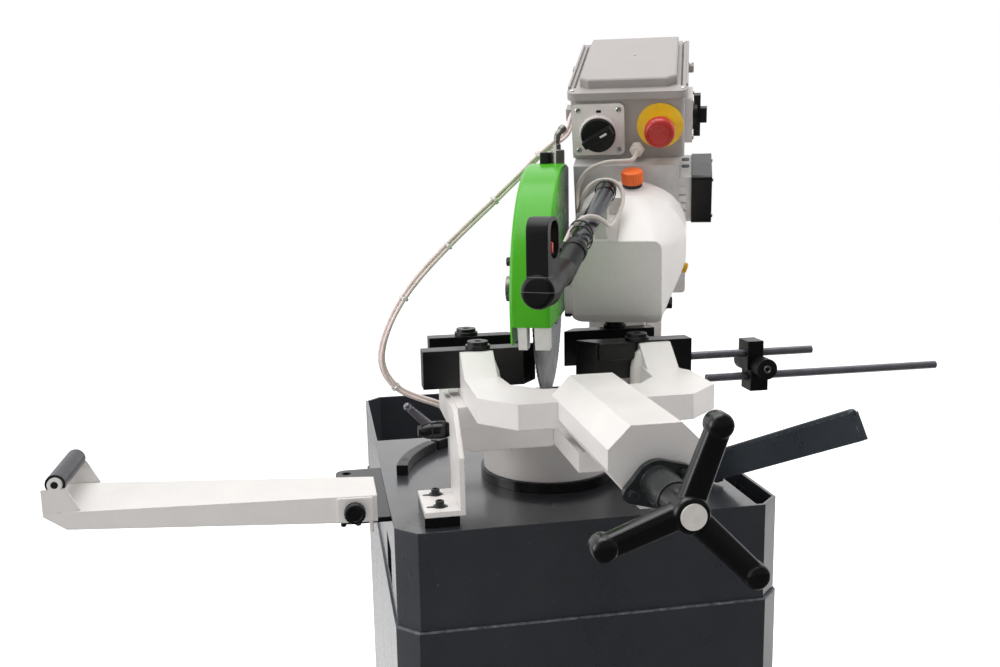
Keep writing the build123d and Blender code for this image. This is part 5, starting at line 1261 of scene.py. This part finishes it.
class SAW_OT_support_fittings(bpy.types.Operator):
    """Makes the end plate of the work support and its set screws"""

    bl_idname = "saw.support_fittings"
    bl_label = "Support fittings"

    def execute(self, context):
        axes = (RIGHT - SUPPORT_SLANT * REAR, REAR + SUPPORT_SLANT * RIGHT, UP)
        plates = [rounded_block(MM * SUPPORT_PLATE, axes, (20.5, 2.2, 14.2), 0.1)]
        plates.append(rounded_block(MM * SUPPORT_TAB, axes, (2.4, 3.5, 9)))
        fit("support_end_plate", plates, casting_enamel, "casting_paint", "work_support")
        stud = [(0, 0), (3.2, 0), (3.2, 8.5), (2.6, 9.2), (0, 9.2)]
        studs = [turned(stud, MM * np.array(place), -UP, ACROSS) for place in SUPPORT_STUDS]
        fit("support_set_screws", studs, oxide_steel, "black_steel", "work_support")
        return {"FINISHED"}


class SAW_OT_motor_fittings(bpy.types.Operator):
    """Makes the fan grille, the terminal box's ribs and screws, dark plates of painted shade for its slots,
    and the oil level glass
    """

    bl_idname = "saw.motor_fittings"
    bl_label = "Motor fittings"

    def execute(self, context):
        rings = []
        for radius in (18, 30, 42, 54):
            rows = [(radius, -0.2), (radius + 5, -0.2), (radius + 4.2, 1.8), (radius + 0.8, 1.8)]
            rings.append(turned(rows, head(*FAN), HEAD_BACK, HEAD_UP, 72))
        fit("fan_grille", rings, motor_paint, "motor_paint", "head", along=True)
        heights = (39.5, 51, 62.5, 74)
        ribs = [rounded_block(head(164, 148.5, w), HEAD_FACE, (9.5, 4.6, 2.5)) for w in heights]
        fit("terminal_base_ribs", ribs, motor_paint, "motor_paint", "head")
        # Thin dark plates on the terminal base: painted shade of its slot openings
        places = (head(171.6, 191.7, 92), head(171.6, 217.8, 92))
        slot_shades = [rounded_block(place, HEAD_FACE, (5.3, 0.6, 6), 0.5) for place in places]
        fit("terminal_base_slot_shades", slot_shades, black_plastic, "black_plastic", "head")
        places = [head(207, 192.5 + 36.5 * side, 60 + 26 * row) for side, row in CORNERS]
        screws = [screw_head(place, ACROSS, 3.2 * MM, HEAD_UP) for place in places]
        fit("terminal_screws", screws, bright_steel, "bright_steel", "head")
        slope = math.radians(19.9)
        facing = math.cos(slope) * ACROSS - math.sin(slope) * HEAD_UP
        rows = [(0, -2), (7, -2), (7, 4.4), (6.2, 5.2), (5, 5.2), (4.6, 4.4), (0, 5)]
        glass = turned(rows, head(112, 62, 22) + 62 * MM * facing, facing)
        fit("oil_level_glass", [glass], sight_glass, "yellow_plastic", "head")
        return {"FINISHED"}


class SAW_OT_finishes(bpy.types.Operator):
    """Gives each solid the material of the real piece"""

    bl_idname = "saw.finishes"
    bl_label = "Finishes"

    def execute(self, context):
        dressed = set()
        for maker, names in NODE_FINISHES.items():
            for name in names.split():
                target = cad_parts[name].data.materials
                target.clear()
                target.append(finish(maker))
                dressed.add(name)
        bare = sorted(set(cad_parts) - dressed)
        if bare:
            raise RuntimeError(f"no finish for {bare}")
        return {"FINISHED"}


class SAW_PT_sidebar(bpy.types.Panel):
    """Lists the saw's operators"""

    bl_idname = "SAW_PT_sidebar"
    bl_label = "Cut-off saw"
    bl_space_type = "VIEW_3D"
    bl_region_type = "UI"
    bl_category = "Saw"

    def draw(self, context):
        for operator in OPERATORS:
            self.layout.operator(operator.bl_idname)


OPERATORS = (
    SAW_OT_stage,
    SAW_OT_cables,
    SAW_OT_handle_ties,
    SAW_OT_control_fittings,
    SAW_OT_lid_fittings,
    SAW_OT_stop_button,
    SAW_OT_handwheel,
    SAW_OT_levers,
    SAW_OT_knobs,
    SAW_OT_trigger,
    SAW_OT_vice_fittings,
    SAW_OT_coolant_fitting,
    SAW_OT_filler_cap,
    SAW_OT_seam,
    SAW_OT_bench_fittings,
    SAW_OT_casing_fittings,
    SAW_OT_support_fittings,
    SAW_OT_motor_fittings,
    SAW_OT_finishes,
)
CLASSES = (SawColours, SawSizes) + OPERATORS + (SAW_PT_sidebar,)


def register():
    for cls in CLASSES:
        bpy.utils.register_class(cls)
    bpy.types.Scene.saw_colours = bpy.props.PointerProperty(type=SawColours)
    bpy.types.Scene.saw_sizes = bpy.props.PointerProperty(type=SawSizes)


def unregister():
    del bpy.types.Scene.saw_sizes
    del bpy.types.Scene.saw_colours
    for cls in reversed(CLASSES):
        bpy.utils.unregister_class(cls)


def main():
    register()
    for operator in OPERATORS:
        group, name = operator.bl_idname.split(".")
        getattr(getattr(bpy.ops, group), name)()


if __name__ == "__main__":
    main()
